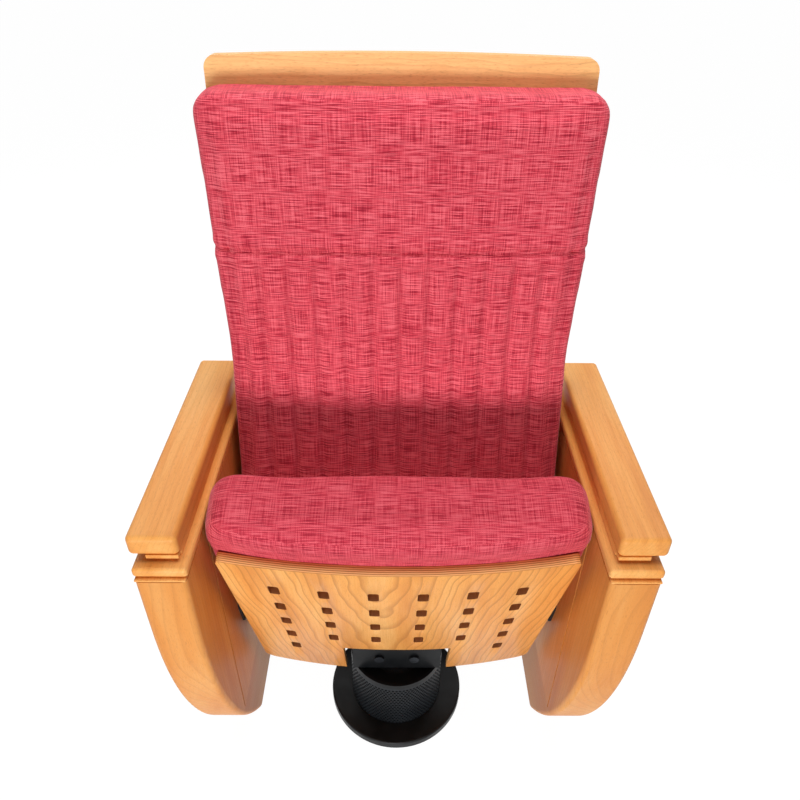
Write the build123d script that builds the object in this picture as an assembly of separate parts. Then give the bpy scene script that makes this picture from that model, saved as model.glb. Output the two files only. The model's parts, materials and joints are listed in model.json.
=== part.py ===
"""Tip-up auditorium seat: wooden side panels with armrests, an upholstered back, and a
plywood seat pan with its cushion, which a spring holds raised.

Millimetres.  X runs across the seat, Y from the front to the back and Z up.  The origin is the
middle of the round pedestal's base, on the floor.  The seat is drawn raised, as it rests.
"""
from build123d import *
import math
import os

# ---------------------------------------------------------------- driving dimensions
# side panels
PANEL_PITCH = 580.0  # middle of one side panel to the middle of the other
PANEL_THICK = 64.0
PANEL_TOP = 580.0
PANEL_FRONT = -222.0
PANEL_REAR = 188.0
FRONT_CURVE_TOP = 480.0  # the straight front edge ends here and sweeps back to the floor
FRONT_CURVE_RADIUS = 750.0
REAR_CURVE_TOP = 300.0
REAR_CURVE_RADIUS = 1500.0
FOOT_HEIGHT = 140.0  # the lower piece of each side panel
PANEL_ARRIS = 8.0
GROOVE_FROM_FRONT = 97.0  # upright groove in each panel's inner face
GROOVE_WIDTH = 3.0
GROOVE_DEPTH = 1.5
GLIDE_RADIUS = 18.0
GLIDE_THICK = 5.0
GLIDE_STANDS_OUT = 2.0
GLIDE_FROM_END = 45.0

# mouldings and armrests
BEAD_HEIGHT = 4.0
BEAD_INSET = 4.0
CAP_HEIGHT = 14.0
CAP_WIDTH = 68.0
CAP_FRONT = -218.0
CAP_ROUND = 5.0
NECK_HEIGHT = 12.0
NECK_WIDTH = 46.0
NECK_INSET = 14.0
ARM_THICK = 30.0
ARM_WIDTH = 62.0
ARM_FRONT = -206.0
ARM_REAR = 189.0
ARM_OUTSET = 6.0  # the armrest stands this far outward of its panel
ARM_ROUND = 7.0

# seat: everything on it is placed from the hinge axis
AXIS_Y = -41.7
AXIS_Z = 324.1
SEAT_LEAN = 19.53  # degrees that the raised pan leans to the front
SEAT_TRAVEL = 62.0  # degrees from raised to lowered
PAN_FACE = 62.0  # outer face of the pan, in front of the axis
PAN_SIDE_GAP = 19.0  # to the side panel
PAN_THICK = 14.0
PAN_RADIUS = 1450.0
PAN_ABOVE = 264.0
PAN_BELOW = 218.0
PAN_BOW = 22.0  # the lower edge drops by this much towards the middle
PAN_TOP_CORNER = 8.0
PAN_LOW_CORNER = 22.0
NOTCH_WIDTH = 184.0
NOTCH_BELOW = 86.0
NOTCH_CORNER = 3.0
HOLE_SIDE = 15.5
HOLE_CORNER = 4.0
HOLE_PITCH = 69.0
HOLE_COLUMNS = 6
HOLE_ROWS = 4  # the two outer columns have one more
HOLE_FIRST_ROW = 181.6  # above the axis

# seat cushion
CUSHION_SIDE_GAP = 12.0  # to the side panel
CUSHION_ABOVE = 314.0
CUSHION_BELOW = 63.0
CUSHION_FRONT_DEPTH = 130.0  # from the pan's outer face
CUSHION_REAR_DEPTH = 102.0
CUSHION_NOSE_ROUND = 16.0
CUSHION_TOP_ROUND = 25.0
CUSHION_CORNER = 42.0
CUSHION_REAR_CORNER = 18.0
CUSHION_CROWN = 9.0
CUSHION_DRAW_IN = 3.0
CROWN_OVERRUN = 1.2  # the crowned slab is this much wider than the cushion cut from it
BOARD_THICK = 9.0
BOARD_MARGIN = 36.0  # from the cushion's side
BOARD_ABOVE = 225.0
BOARD_BELOW = 50.0
BOARD_CORNER = 20.0

# hinge
TUBE_RADIUS = 14.0
TUBE_WALL = 2.5
PIN_RADIUS = 8.0
PIN_CLEARANCE = 0.05
PIN_PLUG_LENGTH = 40.0
PIN_IN_PANEL = 18.0
BUSH_WALL = 4.0
BUSH_FLANGE = 17.0
BUSH_FLANGE_THICK = 2.0
PLATE_BOSS = 22.0  # radius of the plate round the hinge
PLATE_MARGIN = 3.0  # round each stop
PLATE_THICK = 4.0
LEVER_THICK = 3.0
LEVER_BOSS = 22.0
LEVER_HALF_WIDTH = 9.0
LEVER_REACH = 52.0
LEVER_GAP = 0.5
STOP_RADIUS = 7.0
STOP_REACH = 42.0
SADDLE_AT = 120.0
SADDLE_LENGTH = 26.0
SADDLE_WIDTH = 36.0
SPRING_LENGTH = 130.0
SPRING_WALL = 3.0

# back
BACK_TOP = 1098.0
BACK_BOTTOM = 404.0
BACK_SIDE_GAP = 6.0  # to the side panel
BACK_THICK = 15.0
BACK_CORNER = 15.0
BACK_CROWN = 5.0
BEND_Y = 145.5  # the shell's front face changes its lean at this place
BEND_Z = 700.0
LEAN_UPPER = 6.2
LEAN_LOWER = 16.5
BEND_RADIUS = 420.0
PAD_TOP = 1062.0
PAD_BOTTOM = 420.0
PAD_OVERHANG = 10.0  # of the pad's head past the shell's side
PAD_LOW_INSET = 4.0  # of the pad's lower part, inside the shell's side
PAD_TAPER_END = 706.0  # the pad narrows down to here
PAD_TAPER_ROUND = 1200.0
PAD_THICK = 68.0
PAD_CROWN = 6.0
PAD_CORNER = 25.0
PAD_EDGE = 14.0
PAD_SEAM = 871.0
CHANNEL_COUNT = 10
CHANNEL_PITCH = 39.0
CHANNEL_DEPTH = 3.0
CHANNEL_RADIUS = 11.0
SEAM_DEPTH = 3.0
SEAM_RADIUS = 5.0
CARRIER_THICK = 8.0
CARRIER_SIDE_MARGIN = 20.0  # from the pad's side, at its narrow part
CARRIER_MARGIN = 30.0  # from the pad's top and bottom
BRACKET_THICK = 4.0
BRACKET_BOTTOM = 450.0
BRACKET_TOP = 560.0
BRACKET_REACH = 55.0
BRACKET_REAR_MARGIN = 10.0

# pedestal
BASE_RADIUS = 124.3
BASE_HEIGHT = 14.0
BASE_ROUND = 3.0
COVER_WALL = 3.0
COVER_BORE_GAP = 0.8
FLANGE_THICK = 10.0
FLANGE_GAP = 1.5
FLOOR_HOLE_RADIUS = 5.5
FLOOR_HOLE_CIRCLE = 106.0
FLOOR_HOLE_COUNT = 4
COLUMN_RADIUS = 84.5
COLUMN_TOP = 134.0
SLEEVE_WALL = 1.5
DISH_DEPTH = 10.0
DISH_FLOOR = 6.0
DISH_RIM = 5.5
DISH_HOLE = 54.0
TIE_RADIUS = 5.0
TIE_CIRCLE = 68.0
TIE_ANGLE = 30.0

# head of the pedestal and the beam
HEAD_WIDTH = 156.0
HEAD_FRONT = -48.0
HEAD_TOP = 192.0
HEAD_TOP_LENGTH = 68.0
HEAD_REAR_TOP = 148.0
HEAD_PLATE = 5.0
HEAD_FLOOR = 6.0
HEAD_BOLT_RADIUS = 5.0
BOLT_HEAD_RATIO = 1.7  # of a bolt's head to its shank
HEAD_BOLT_SPACING = 62.0
HEAD_BOLT_Z = 164.0
BEAM_SIZE = 50.0
BEAM_WALL = 4.0
BEAM_Y = 128.0
BEAM_Z = 88.0
BEAM_FLANGE_THICK = 6.0
BEAM_FLANGE_DEPTH = 70.0
BEAM_FLANGE_HEIGHT = 84.0
BEAM_BOLT_RADIUS = 5.0
BEAM_BOLT_IN_FOOT = 30.0

FIT = 0.3  # clearance between pieces that are laid or dropped into each other

# ---------------------------------------------------------------- derived places
SIDES = (("l", -1), ("r", 1))
PANEL_MIDDLE = PANEL_PITCH / 2
PANEL_INNER = PANEL_MIDDLE - PANEL_THICK / 2
PAN_WIDTH = 2 * (PANEL_INNER - PAN_SIDE_GAP)
CUSHION_WIDTH = 2 * (PANEL_INNER - CUSHION_SIDE_GAP)
BOARD_WIDTH = CUSHION_WIDTH - 2 * BOARD_MARGIN
BACK_WIDTH = 2 * (PANEL_INNER - BACK_SIDE_GAP)
PAD_TOP_WIDTH = BACK_WIDTH + 2 * PAD_OVERHANG
PAD_LOW_WIDTH = BACK_WIDTH - 2 * PAD_LOW_INSET
CARRIER_WIDTH = PAD_LOW_WIDTH - 2 * CARRIER_SIDE_MARGIN
BEAD_TOP = PANEL_TOP + BEAD_HEIGHT
CAP_TOP = BEAD_TOP + CAP_HEIGHT
NECK_TOP = CAP_TOP + NECK_HEIGHT
ARM_MIDDLE = PANEL_MIDDLE + ARM_OUTSET
PLATE_INNER = PANEL_INNER - PLATE_THICK
LEVER_OUTER = PLATE_INNER - BUSH_FLANGE_THICK - LEVER_GAP
LEVER_INNER = LEVER_OUTER - LEVER_THICK
PAN_INNER_RADIUS = PAN_RADIUS - PAN_THICK
BOARD_OUTER_RADIUS = PAN_INNER_RADIUS - FIT
BOARD_INNER_RADIUS = BOARD_OUTER_RADIUS - BOARD_THICK
TIE_ANGLES = (TIE_ANGLE, 180 - TIE_ANGLE, 180 + TIE_ANGLE, -TIE_ANGLE)
SEAT_PLANE = Plane(
    origin=(0, AXIS_Y, AXIS_Z),
    x_dir=(1, 0, 0),
    z_dir=(0, -math.cos(math.radians(SEAT_LEAN)), -math.sin(math.radians(SEAT_LEAN))),
)


# ---------------------------------------------------------------- small helpers
def box_between(low, high):
    """A box from its lowest to its highest corner."""
    size = [b - a for a, b in zip(low, high)]
    middle = [(a + b) / 2 for a, b in zip(low, high)]
    return Pos(*middle) * Box(*size)


def drum(radius, bottom, top, x=0.0, y=0.0):
    """An upright cylinder."""
    return Pos(x, y, (bottom + top) / 2) * Cylinder(radius, top - bottom)


def along_x(radius, start, end, y=0.0, z=0.0):
    """A cylinder that lies along X from start to end."""
    low, high = min(start, end), max(start, end)
    return Pos((low + high) / 2, y, z) * Rot(0, 90, 0) * Cylinder(radius, high - low)


def along_y(radius, start, end, x, z):
    """A cylinder that lies along Y from start to end."""
    return Pos(x, (start + end) / 2, z) * Rot(90, 0, 0) * Cylinder(radius, end - start)


def side_prism(face, start, end):
    """A face drawn with its own x as Y and y as Z, made solid from X = start to X = end."""
    low, high = min(start, end), max(start, end)
    return extrude(Plane.YZ.offset(low) * face, amount=high - low)


def front_prism(face, front, rear):
    """A face drawn with its own x as X and y as Z, made solid from Y = front to Y = rear."""
    plane = Plane(origin=(0, front, 0), x_dir=(1, 0, 0), z_dir=(0, -1, 0))
    return extrude(plane * face, amount=-(rear - front))


def polar(radius, degrees):
    """The point at this radius and angle."""
    return radius * math.cos(math.radians(degrees)), radius * math.sin(math.radians(degrees))


def set_back(radius, run):
    """How far an arc has left its tangent after this run along it."""
    return radius - math.sqrt(radius**2 - run**2)


def arc_of_run(radius, run, share):
    """Run and set-back of the point at a share of an arc that ends at this run."""
    angle = math.asin(run / radius) * share
    return radius * math.sin(angle), radius * (1 - math.cos(angle))


# ---------------------------------------------------------------- side panels
def panel_outline():
    """The side of a panel: upright at the top, sweeping back to the floor at the front."""
    front_run, front_back = arc_of_run(FRONT_CURVE_RADIUS, FRONT_CURVE_TOP - GLIDE_STANDS_OUT, 0.5)
    rear_run, rear_back = arc_of_run(REAR_CURVE_RADIUS, REAR_CURVE_TOP - GLIDE_STANDS_OUT, 0.5)
    front_floor = PANEL_FRONT + set_back(FRONT_CURVE_RADIUS, FRONT_CURVE_TOP - GLIDE_STANDS_OUT)
    rear_floor = PANEL_REAR - set_back(REAR_CURVE_RADIUS, REAR_CURVE_TOP - GLIDE_STANDS_OUT)
    top_front = (PANEL_FRONT, PANEL_TOP)
    curve_front = (PANEL_FRONT, FRONT_CURVE_TOP)
    middle_front = (PANEL_FRONT + front_back, FRONT_CURVE_TOP - front_run)
    floor_front = (front_floor, GLIDE_STANDS_OUT)
    floor_rear = (rear_floor, GLIDE_STANDS_OUT)
    middle_rear = (PANEL_REAR - rear_back, REAR_CURVE_TOP - rear_run)
    curve_rear = (PANEL_REAR, REAR_CURVE_TOP)
    top_rear = (PANEL_REAR, PANEL_TOP)
    edges = [
        Line(top_front, curve_front),
        ThreePointArc(curve_front, middle_front, floor_front),
        Line(floor_front, floor_rear),
        ThreePointArc(floor_rear, middle_rear, curve_rear),
        Line(curve_rear, top_rear),
        Line(top_rear, top_front),
    ]
    return make_face(edges)


def panel_blank(side):
    """One side panel with its foot, arrises rounded along the front and the rear."""
    inner, outer = side * PANEL_INNER, side * (PANEL_INNER + PANEL_THICK)
    blank = side_prism(panel_outline(), inner, outer)
    upright = []
    for edge in blank.edges():
        middle = edge @ 0.5
        rise = edge.bounding_box().size.Z
        if GLIDE_STANDS_OUT < middle.Z < PANEL_TOP and rise > PANEL_ARRIS:
            upright.append(edge)
    return fillet(upright, PANEL_ARRIS)


def glide_places(side):
    """Middles of the two glides under one foot."""
    front = PANEL_FRONT + set_back(FRONT_CURVE_RADIUS, FRONT_CURVE_TOP - GLIDE_STANDS_OUT)
    rear = PANEL_REAR - set_back(REAR_CURVE_RADIUS, REAR_CURVE_TOP - GLIDE_STANDS_OUT)
    return [
        (side * PANEL_MIDDLE, front + GLIDE_FROM_END),
        (side * PANEL_MIDDLE, rear - GLIDE_FROM_END),
    ]


def glide(x, y, grow=0.0):
    """One round floor glide, let into the foot."""
    height = GLIDE_THICK + grow
    return Pos(x, y, height / 2) * Cylinder(GLIDE_RADIUS + grow, height)


def panel_groove(side):
    """The upright groove that parts the front stile from the rest of the inner face."""
    middle = PANEL_FRONT + GROOVE_FROM_FRONT
    near, far = sorted((side * (PANEL_INNER - FIT), side * (PANEL_INNER + GROOVE_DEPTH)))
    return box_between(
        (near, middle - GROOVE_WIDTH / 2, FOOT_HEIGHT), (far, middle + GROOVE_WIDTH / 2, PANEL_TOP)
    )


def side_panel(side):
    """The main piece of a side panel, grooved inside and bored for the hinge bush."""
    upper = box_between(
        (side * PANEL_MIDDLE - PANEL_THICK, PANEL_FRONT - PANEL_THICK, FOOT_HEIGHT),
        (side * PANEL_MIDDLE + PANEL_THICK, PANEL_REAR + PANEL_THICK, PANEL_TOP + PANEL_THICK),
    )
    bore = along_x(
        PIN_RADIUS + BUSH_WALL + PIN_CLEARANCE,
        side * (PANEL_INNER - FIT),
        side * (PANEL_INNER + PIN_IN_PANEL + FIT),
        AXIS_Y,
        AXIS_Z,
    )
    return (panel_blank(side) & upper) - bore - panel_groove(side)


def panel_foot(side):
    """The lower piece of a side panel, with seats for its glides and the beam's bolts."""
    lower = box_between(
        (side * PANEL_MIDDLE - PANEL_THICK, PANEL_FRONT - PANEL_THICK, 0),
        (side * PANEL_MIDDLE + PANEL_THICK, PANEL_REAR + PANEL_THICK, FOOT_HEIGHT),
    )
    foot = panel_blank(side) & lower
    for x, y in glide_places(side):
        foot -= glide(x, y, PIN_CLEARANCE)
    for y, z in beam_bolt_places():
        end = side * (PANEL_INNER + BEAM_BOLT_IN_FOOT + PIN_CLEARANCE)
        foot -= along_x(BEAM_BOLT_RADIUS + PIN_CLEARANCE, side * (PANEL_INNER - FIT), end, y, z)
    return foot


def foot_glides():
    """Four round glides under the two feet."""
    return [glide(x, y) for _, side in SIDES for x, y in glide_places(side)]


def moulding(side, width, front, rear, bottom, top, rounding, middle):
    """A rounded board that lies along the top of a side panel."""
    board = box_between(
        (side * middle - width / 2, front, bottom),
        (side * middle + width / 2, rear, top),
    )
    return fillet(board.edges(), rounding) if rounding else board


def panel_bead(side):
    """The thin dark strip that parts the panel from its cap."""
    width = PANEL_THICK - 2 * BEAD_INSET
    front, rear = PANEL_FRONT + BEAD_INSET, PANEL_REAR - BEAD_INSET
    return moulding(side, width, front, rear, PANEL_TOP, BEAD_TOP, 0, PANEL_MIDDLE)


def panel_cap(side):
    """The moulded board on top of a side panel."""
    rear = PANEL_REAR + (PANEL_FRONT - CAP_FRONT)
    return moulding(side, CAP_WIDTH, CAP_FRONT, rear, BEAD_TOP, CAP_TOP, CAP_ROUND, PANEL_MIDDLE)


def arm_neck(side):
    """The narrow strip that lifts the armrest off the cap."""
    front, rear = ARM_FRONT + NECK_INSET, ARM_REAR - NECK_INSET
    return moulding(side, NECK_WIDTH, front, rear, CAP_TOP, NECK_TOP, 0, PANEL_MIDDLE)


def armrest(side):
    """The armrest board, with all its arrises rounded."""
    top = NECK_TOP + ARM_THICK
    return moulding(side, ARM_WIDTH, ARM_FRONT, ARM_REAR, NECK_TOP, top, ARM_ROUND, ARM_MIDDLE)


# ---------------------------------------------------------------- seat pan and cushion
def pan_drum(radius):
    """A drum about the pan's centre of curvature; it lies along the pan and outruns it."""
    height = 2 * (PAN_ABOVE + PAN_BELOW)
    return Pos(0, 0, PAN_FACE - PAN_RADIUS) * Rot(90, 0, 0) * Cylinder(radius, height)


def pan_outline():
    """The pan's outline: straight sides, a bowed lower edge and a notch over the pedestal."""
    half = PAN_WIDTH / 2
    corner_low = -PAN_BELOW + PAN_BOW
    blank = make_face(
        [
            Line((-half, corner_low), (-half, PAN_ABOVE)),
            Line((-half, PAN_ABOVE), (half, PAN_ABOVE)),
            Line((half, PAN_ABOVE), (half, corner_low)),
            ThreePointArc((half, corner_low), (0, -PAN_BELOW), (-half, corner_low)),
        ]
    )
    blank = fillet([v for v in blank.vertices() if v.Y > 0], PAN_TOP_CORNER)
    blank = fillet([v for v in blank.vertices() if v.Y < 0], PAN_LOW_CORNER)
    opening = Pos(0, -NOTCH_BELOW - PAN_BELOW / 2) * Rectangle(NOTCH_WIDTH, PAN_BELOW)
    inner = opening.vertices().sort_by(Axis.Y)[-2:]
    return blank - fillet(inner, NOTCH_CORNER)


def pan_hole_places():
    """Middles of the square holes; the outer columns reach one row lower."""
    places = []
    for column in range(HOLE_COLUMNS):
        x = (column - (HOLE_COLUMNS - 1) / 2) * HOLE_PITCH
        rows = HOLE_ROWS + (1 if column in (0, HOLE_COLUMNS - 1) else 0)
        for row in range(rows):
            places.append((x, HOLE_FIRST_ROW - row * HOLE_PITCH))
    return places


def through_pan(face):
    """A prism through the pan, for an outline drawn on it."""
    depth = PAN_FACE + CUSHION_FRONT_DEPTH
    return extrude(Pos(0, 0, PAN_FACE - depth) * face, amount=2 * depth)


def seat_pan():
    """The curved plywood pan with its pattern of square holes."""
    shell = pan_drum(PAN_RADIUS) - pan_drum(PAN_INNER_RADIUS)
    blank = through_pan(pan_outline()) & shell
    hole = RectangleRounded(HOLE_SIDE, HOLE_SIDE, HOLE_CORNER)
    holes = [through_pan(Pos(x, y) * hole) for x, y in pan_hole_places()]
    return SEAT_PLANE * (blank - holes)


def board_outline(grow=0.0):
    """The outline of the board inside the cushion."""
    height = BOARD_ABOVE + BOARD_BELOW + 2 * grow
    middle = (BOARD_ABOVE - BOARD_BELOW) / 2
    return Pos(0, middle) * RectangleRounded(BOARD_WIDTH + 2 * grow, height, BOARD_CORNER + grow)


def seat_board():
    """The curved board that carries the cushion, on the pan's inner face."""
    layer = pan_drum(BOARD_OUTER_RADIUS) - pan_drum(BOARD_INNER_RADIUS)
    return SEAT_PLANE * (through_pan(board_outline()) & layer)


def crowned_slab():
    """A slab, deeper at the front, whose top is crowned across the seat."""
    deep, shallow = PAN_FACE - CUSHION_FRONT_DEPTH, PAN_FACE - CUSHION_REAR_DEPTH
    half = CUSHION_WIDTH / 2
    crown_radius = (half**2 + CUSHION_CROWN**2) / (2 * CUSHION_CROWN)
    slope = (shallow - deep) / (CUSHION_ABOVE + CUSHION_BELOW)
    side = make_face(
        Polyline(
            (-CUSHION_BELOW - PAN_THICK, PAN_FACE),
            (CUSHION_ABOVE + PAN_THICK, PAN_FACE),
            (CUSHION_ABOVE + PAN_THICK, deep - PAN_THICK * slope),
            (-CUSHION_BELOW - PAN_THICK, shallow + PAN_THICK * slope),
            close=True,
        )
    )
    axis = Axis((0, 0, deep + crown_radius), (0, 1, 0))
    turn = math.degrees(math.asin(CUSHION_WIDTH / 2 / crown_radius)) * CROWN_OVERRUN
    face = Plane(origin=(0, 0, 0), x_dir=(0, 1, 0), z_dir=(1, 0, 0)) * side
    return revolve(face.rotate(axis, -turn), axis, 2 * turn)


def cushion_outline():
    """The cushion from above: rounded corners, its sides drawn in between them."""
    half, mid = CUSHION_WIDTH / 2, (CUSHION_ABOVE - CUSHION_BELOW) / 2
    drawn = half - CUSHION_DRAW_IN
    blank = make_face(
        [
            ThreePointArc((-half, -CUSHION_BELOW), (-drawn, mid), (-half, CUSHION_ABOVE)),
            Line((-half, CUSHION_ABOVE), (half, CUSHION_ABOVE)),
            ThreePointArc((half, CUSHION_ABOVE), (drawn, mid), (half, -CUSHION_BELOW)),
            Line((half, -CUSHION_BELOW), (-half, -CUSHION_BELOW)),
        ]
    )
    front = [v for v in blank.vertices() if v.Y > 0]
    blank = fillet(front, CUSHION_CORNER)
    rear = blank.vertices().sort_by(Axis.Y)[:2]
    return fillet(rear, CUSHION_REAR_CORNER)


def cushion_block():
    """The cushion before it is hollowed: crowned, with a rounded top and nose."""
    block = crowned_slab() & through_pan(cushion_outline()) & pan_drum(PAN_INNER_RADIUS - FIT)
    block = fillet(block.faces().sort_by(Axis.Z)[0].edges(), CUSHION_TOP_ROUND)
    nose = []
    for edge in block.edges():
        middle = edge @ 0.5
        if middle.Y > CUSHION_ABOVE - CUSHION_CORNER and middle.Z > CUSHION_NOSE_ROUND:
            nose.append(edge)
    return fillet(nose, CUSHION_NOSE_ROUND)


def saddle_places():
    """Middles of the tube's saddles across the seat."""
    return (-SADDLE_AT, SADDLE_AT)


def seat_cushion():
    """The crowned seat cushion, hollowed for its board and the hinge tube."""
    blank = cushion_block()
    pocket = through_pan(board_outline(FIT)) - pan_drum(BOARD_INNER_RADIUS - FIT)
    blank = blank - pocket
    blank = blank - along_x(TUBE_RADIUS + FIT, -CUSHION_WIDTH, CUSHION_WIDTH)
    for x in saddle_places():
        blank = blank - saddle_block(x, FIT)
    return SEAT_PLANE * blank


# ---------------------------------------------------------------- hinge
def saddle_block(x, grow=0.0):
    """A block from the hinge tube up to the board inside the cushion."""
    low = (x - SADDLE_LENGTH / 2 - grow, -SADDLE_WIDTH / 2 - grow, -TUBE_RADIUS / 2 - grow)
    high = (x + SADDLE_LENGTH / 2 + grow, SADDLE_WIDTH / 2 + grow, PAN_FACE)
    return box_between(low, high)


def tube_saddles():
    """Two blocks that hold the hinge tube against the board."""
    blocks = []
    for x in saddle_places():
        block = saddle_block(x) & pan_drum(BOARD_INNER_RADIUS - FIT)
        block = block - along_x(TUBE_RADIUS + PIN_CLEARANCE, -CUSHION_WIDTH, CUSHION_WIDTH)
        blocks.append(SEAT_PLANE * block)
    return blocks


def hinge_tube():
    """The steel tube across the seat, on the hinge axis."""
    tube = along_x(TUBE_RADIUS, -LEVER_INNER, LEVER_INNER)
    bore = along_x(TUBE_RADIUS - TUBE_WALL, -LEVER_OUTER, LEVER_OUTER)
    return SEAT_PLANE * (tube - bore)


def pivot_pin(side):
    """A pin plugged into the tube, which turns in the side panel's bush."""
    plug_start = LEVER_INNER - PIN_PLUG_LENGTH
    plug = along_x(TUBE_RADIUS - TUBE_WALL - PIN_CLEARANCE, side * plug_start, side * LEVER_INNER)
    journal_end = PANEL_INNER + PIN_IN_PANEL - FIT
    journal = along_x(PIN_RADIUS, side * (LEVER_INNER - PIN_RADIUS), side * journal_end)
    return SEAT_PLANE * (plug + journal)


def return_spring(side):
    """The wound torsion spring inside the tube, drawn as its outer sleeve."""
    end = LEVER_INNER - PIN_PLUG_LENGTH
    radius = TUBE_RADIUS - TUBE_WALL - PIN_CLEARANCE
    sleeve = along_x(radius, side * (end - SPRING_LENGTH), side * end)
    bore = along_x(radius - SPRING_WALL, side * (end - SPRING_LENGTH - FIT), side * (end + FIT))
    return SEAT_PLANE * (sleeve - bore)


def stop_lever(side):
    """The flat lever on the tube's end, whose tail meets the rubber stops."""
    boss = Circle(LEVER_BOSS)
    tail = Pos(0, -LEVER_REACH / 2) * Rectangle(2 * LEVER_HALF_WIDTH, LEVER_REACH)
    face = boss + tail - Circle(PIN_RADIUS + PIN_CLEARANCE)
    inner, outer = side * LEVER_INNER, side * LEVER_OUTER
    plane = Plane(origin=(min(inner, outer), 0, 0), x_dir=(0, 0, -1), z_dir=(1, 0, 0))
    return SEAT_PLANE * extrude(plane * face, amount=LEVER_THICK)


def pivot_plate(side):
    """The plate on the side panel that backs the bush and the stops, drawn tight round them."""
    rings = (Pos(AXIS_Y, AXIS_Z) * Circle(PLATE_BOSS)).edges()
    for y, z in stop_places():
        rings += (Pos(y, z) * Circle(STOP_RADIUS + PLATE_MARGIN)).edges()
    plate = side_prism(make_hull(rings), side * PLATE_INNER, side * PANEL_INNER)
    reach = side * (PLATE_INNER - FIT), side * (PANEL_INNER + FIT)
    return plate - along_x(PIN_RADIUS + BUSH_WALL + PIN_CLEARANCE, *reach, AXIS_Y, AXIS_Z)


def pivot_bush(side):
    """The flanged nylon bush that the pivot pin turns in."""
    sleeve_end = side * (PANEL_INNER + PIN_IN_PANEL)
    sleeve = along_x(PIN_RADIUS + BUSH_WALL, side * PLATE_INNER, sleeve_end, AXIS_Y, AXIS_Z)
    flange_start = side * (PLATE_INNER - BUSH_FLANGE_THICK)
    flange = along_x(BUSH_FLANGE, flange_start, side * PLATE_INNER, AXIS_Y, AXIS_Z)
    ends = side * (PLATE_INNER - PLATE_THICK), side * (PANEL_INNER + 2 * PIN_IN_PANEL)
    return (sleeve + flange) - along_x(PIN_RADIUS + PIN_CLEARANCE, *ends, AXIS_Y, AXIS_Z)


def stop_places():
    """Middles of the raised and the lowered stop, about the hinge axis."""
    tail_raised = SEAT_LEAN - 90  # where the lever's tail points, above level to the rear
    swing = math.degrees(math.asin((LEVER_HALF_WIDTH + STOP_RADIUS + FIT) / STOP_REACH))
    places = []
    for angle in (tail_raised - swing, tail_raised + SEAT_TRAVEL + swing):
        y, z = polar(STOP_REACH, angle)
        places.append((AXIS_Y + y, AXIS_Z + z))
    return places


def seat_stops():
    """Rubber stops on both pivot plates, one for each end of the travel."""
    stops = []
    for _, side in SIDES:
        for y, z in stop_places():
            stops.append(along_x(STOP_RADIUS, side * LEVER_INNER, side * PLATE_INNER, y, z))
    return stops


# ---------------------------------------------------------------- back
def back_normals():
    """Forward normals of the upper and the lower part of the back, and the bend's centre."""
    upper = Vector(-math.cos(math.radians(LEAN_UPPER)), math.sin(math.radians(LEAN_UPPER)))
    lower = Vector(-math.cos(math.radians(LEAN_LOWER)), math.sin(math.radians(LEAN_LOWER)))
    half_turn = math.radians(LEAN_LOWER - LEAN_UPPER) / 2
    middle = (upper + lower).normalized()
    centre = Vector(BEND_Y, BEND_Z) + middle * (BEND_RADIUS / math.cos(half_turn))
    return upper, middle, lower, centre


def back_edges(forward, top, bottom):
    """The back's line, moved forward by this much: straight, bent, straight, top to bottom."""
    upper, middle, lower, centre = back_normals()
    radius = BEND_RADIUS - forward
    bend_top = centre - upper * radius
    bend_middle = centre - middle * radius
    bend_low = centre - lower * radius
    rise = top - bend_top.Y
    start = (bend_top.X + rise * math.tan(math.radians(LEAN_UPPER)), top)
    drop = bend_low.Y - bottom
    end = (bend_low.X - drop * math.tan(math.radians(LEAN_LOWER)), bottom)
    return [
        Line(start, (bend_top.X, bend_top.Y)),
        ThreePointArc(
            (bend_top.X, bend_top.Y), (bend_middle.X, bend_middle.Y), (bend_low.X, bend_low.Y)
        ),
        Line((bend_low.X, bend_low.Y), end),
    ]


def back_band(rear, front, top, bottom):
    """The side view of a bent layer of the back, between two distances before the shell's face."""
    rear_edges = back_edges(rear, top, bottom)
    front_edges = back_edges(front, top, bottom)
    lids = [
        Line(rear_edges[0] @ 0, front_edges[0] @ 0),
        Line(rear_edges[-1] @ 1, front_edges[-1] @ 1),
    ]
    return make_face(rear_edges + front_edges + lids)


def back_shell():
    """The bent plywood shell behind the pad, with rounded corners and a crowned top edge."""
    half = BACK_WIDTH / 2
    bent = side_prism(back_band(-BACK_THICK, 0, BACK_TOP, BACK_BOTTOM), -half, half)
    shoulder = BACK_TOP - BACK_CROWN
    outline = make_face(
        [
            ThreePointArc((-half, shoulder), (0, BACK_TOP), (half, shoulder)),
            Line((half, shoulder), (half, BACK_BOTTOM)),
            Line((half, BACK_BOTTOM), (-half, BACK_BOTTOM)),
            Line((-half, BACK_BOTTOM), (-half, shoulder)),
        ]
    )
    outline = fillet(outline.vertices(), BACK_CORNER)
    return bent & front_prism(outline, PANEL_FRONT, 2 * PANEL_REAR)


def pad_carrier(grow=0.0):
    """The bent board inside the pad, laid on the shell."""
    half = CARRIER_WIDTH / 2 + grow
    top = PAD_TOP - CARRIER_MARGIN + grow
    bottom = PAD_BOTTOM + CARRIER_MARGIN - grow
    return side_prism(back_band(FIT - grow, FIT + CARRIER_THICK + grow, top, bottom), -half, half)


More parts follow.
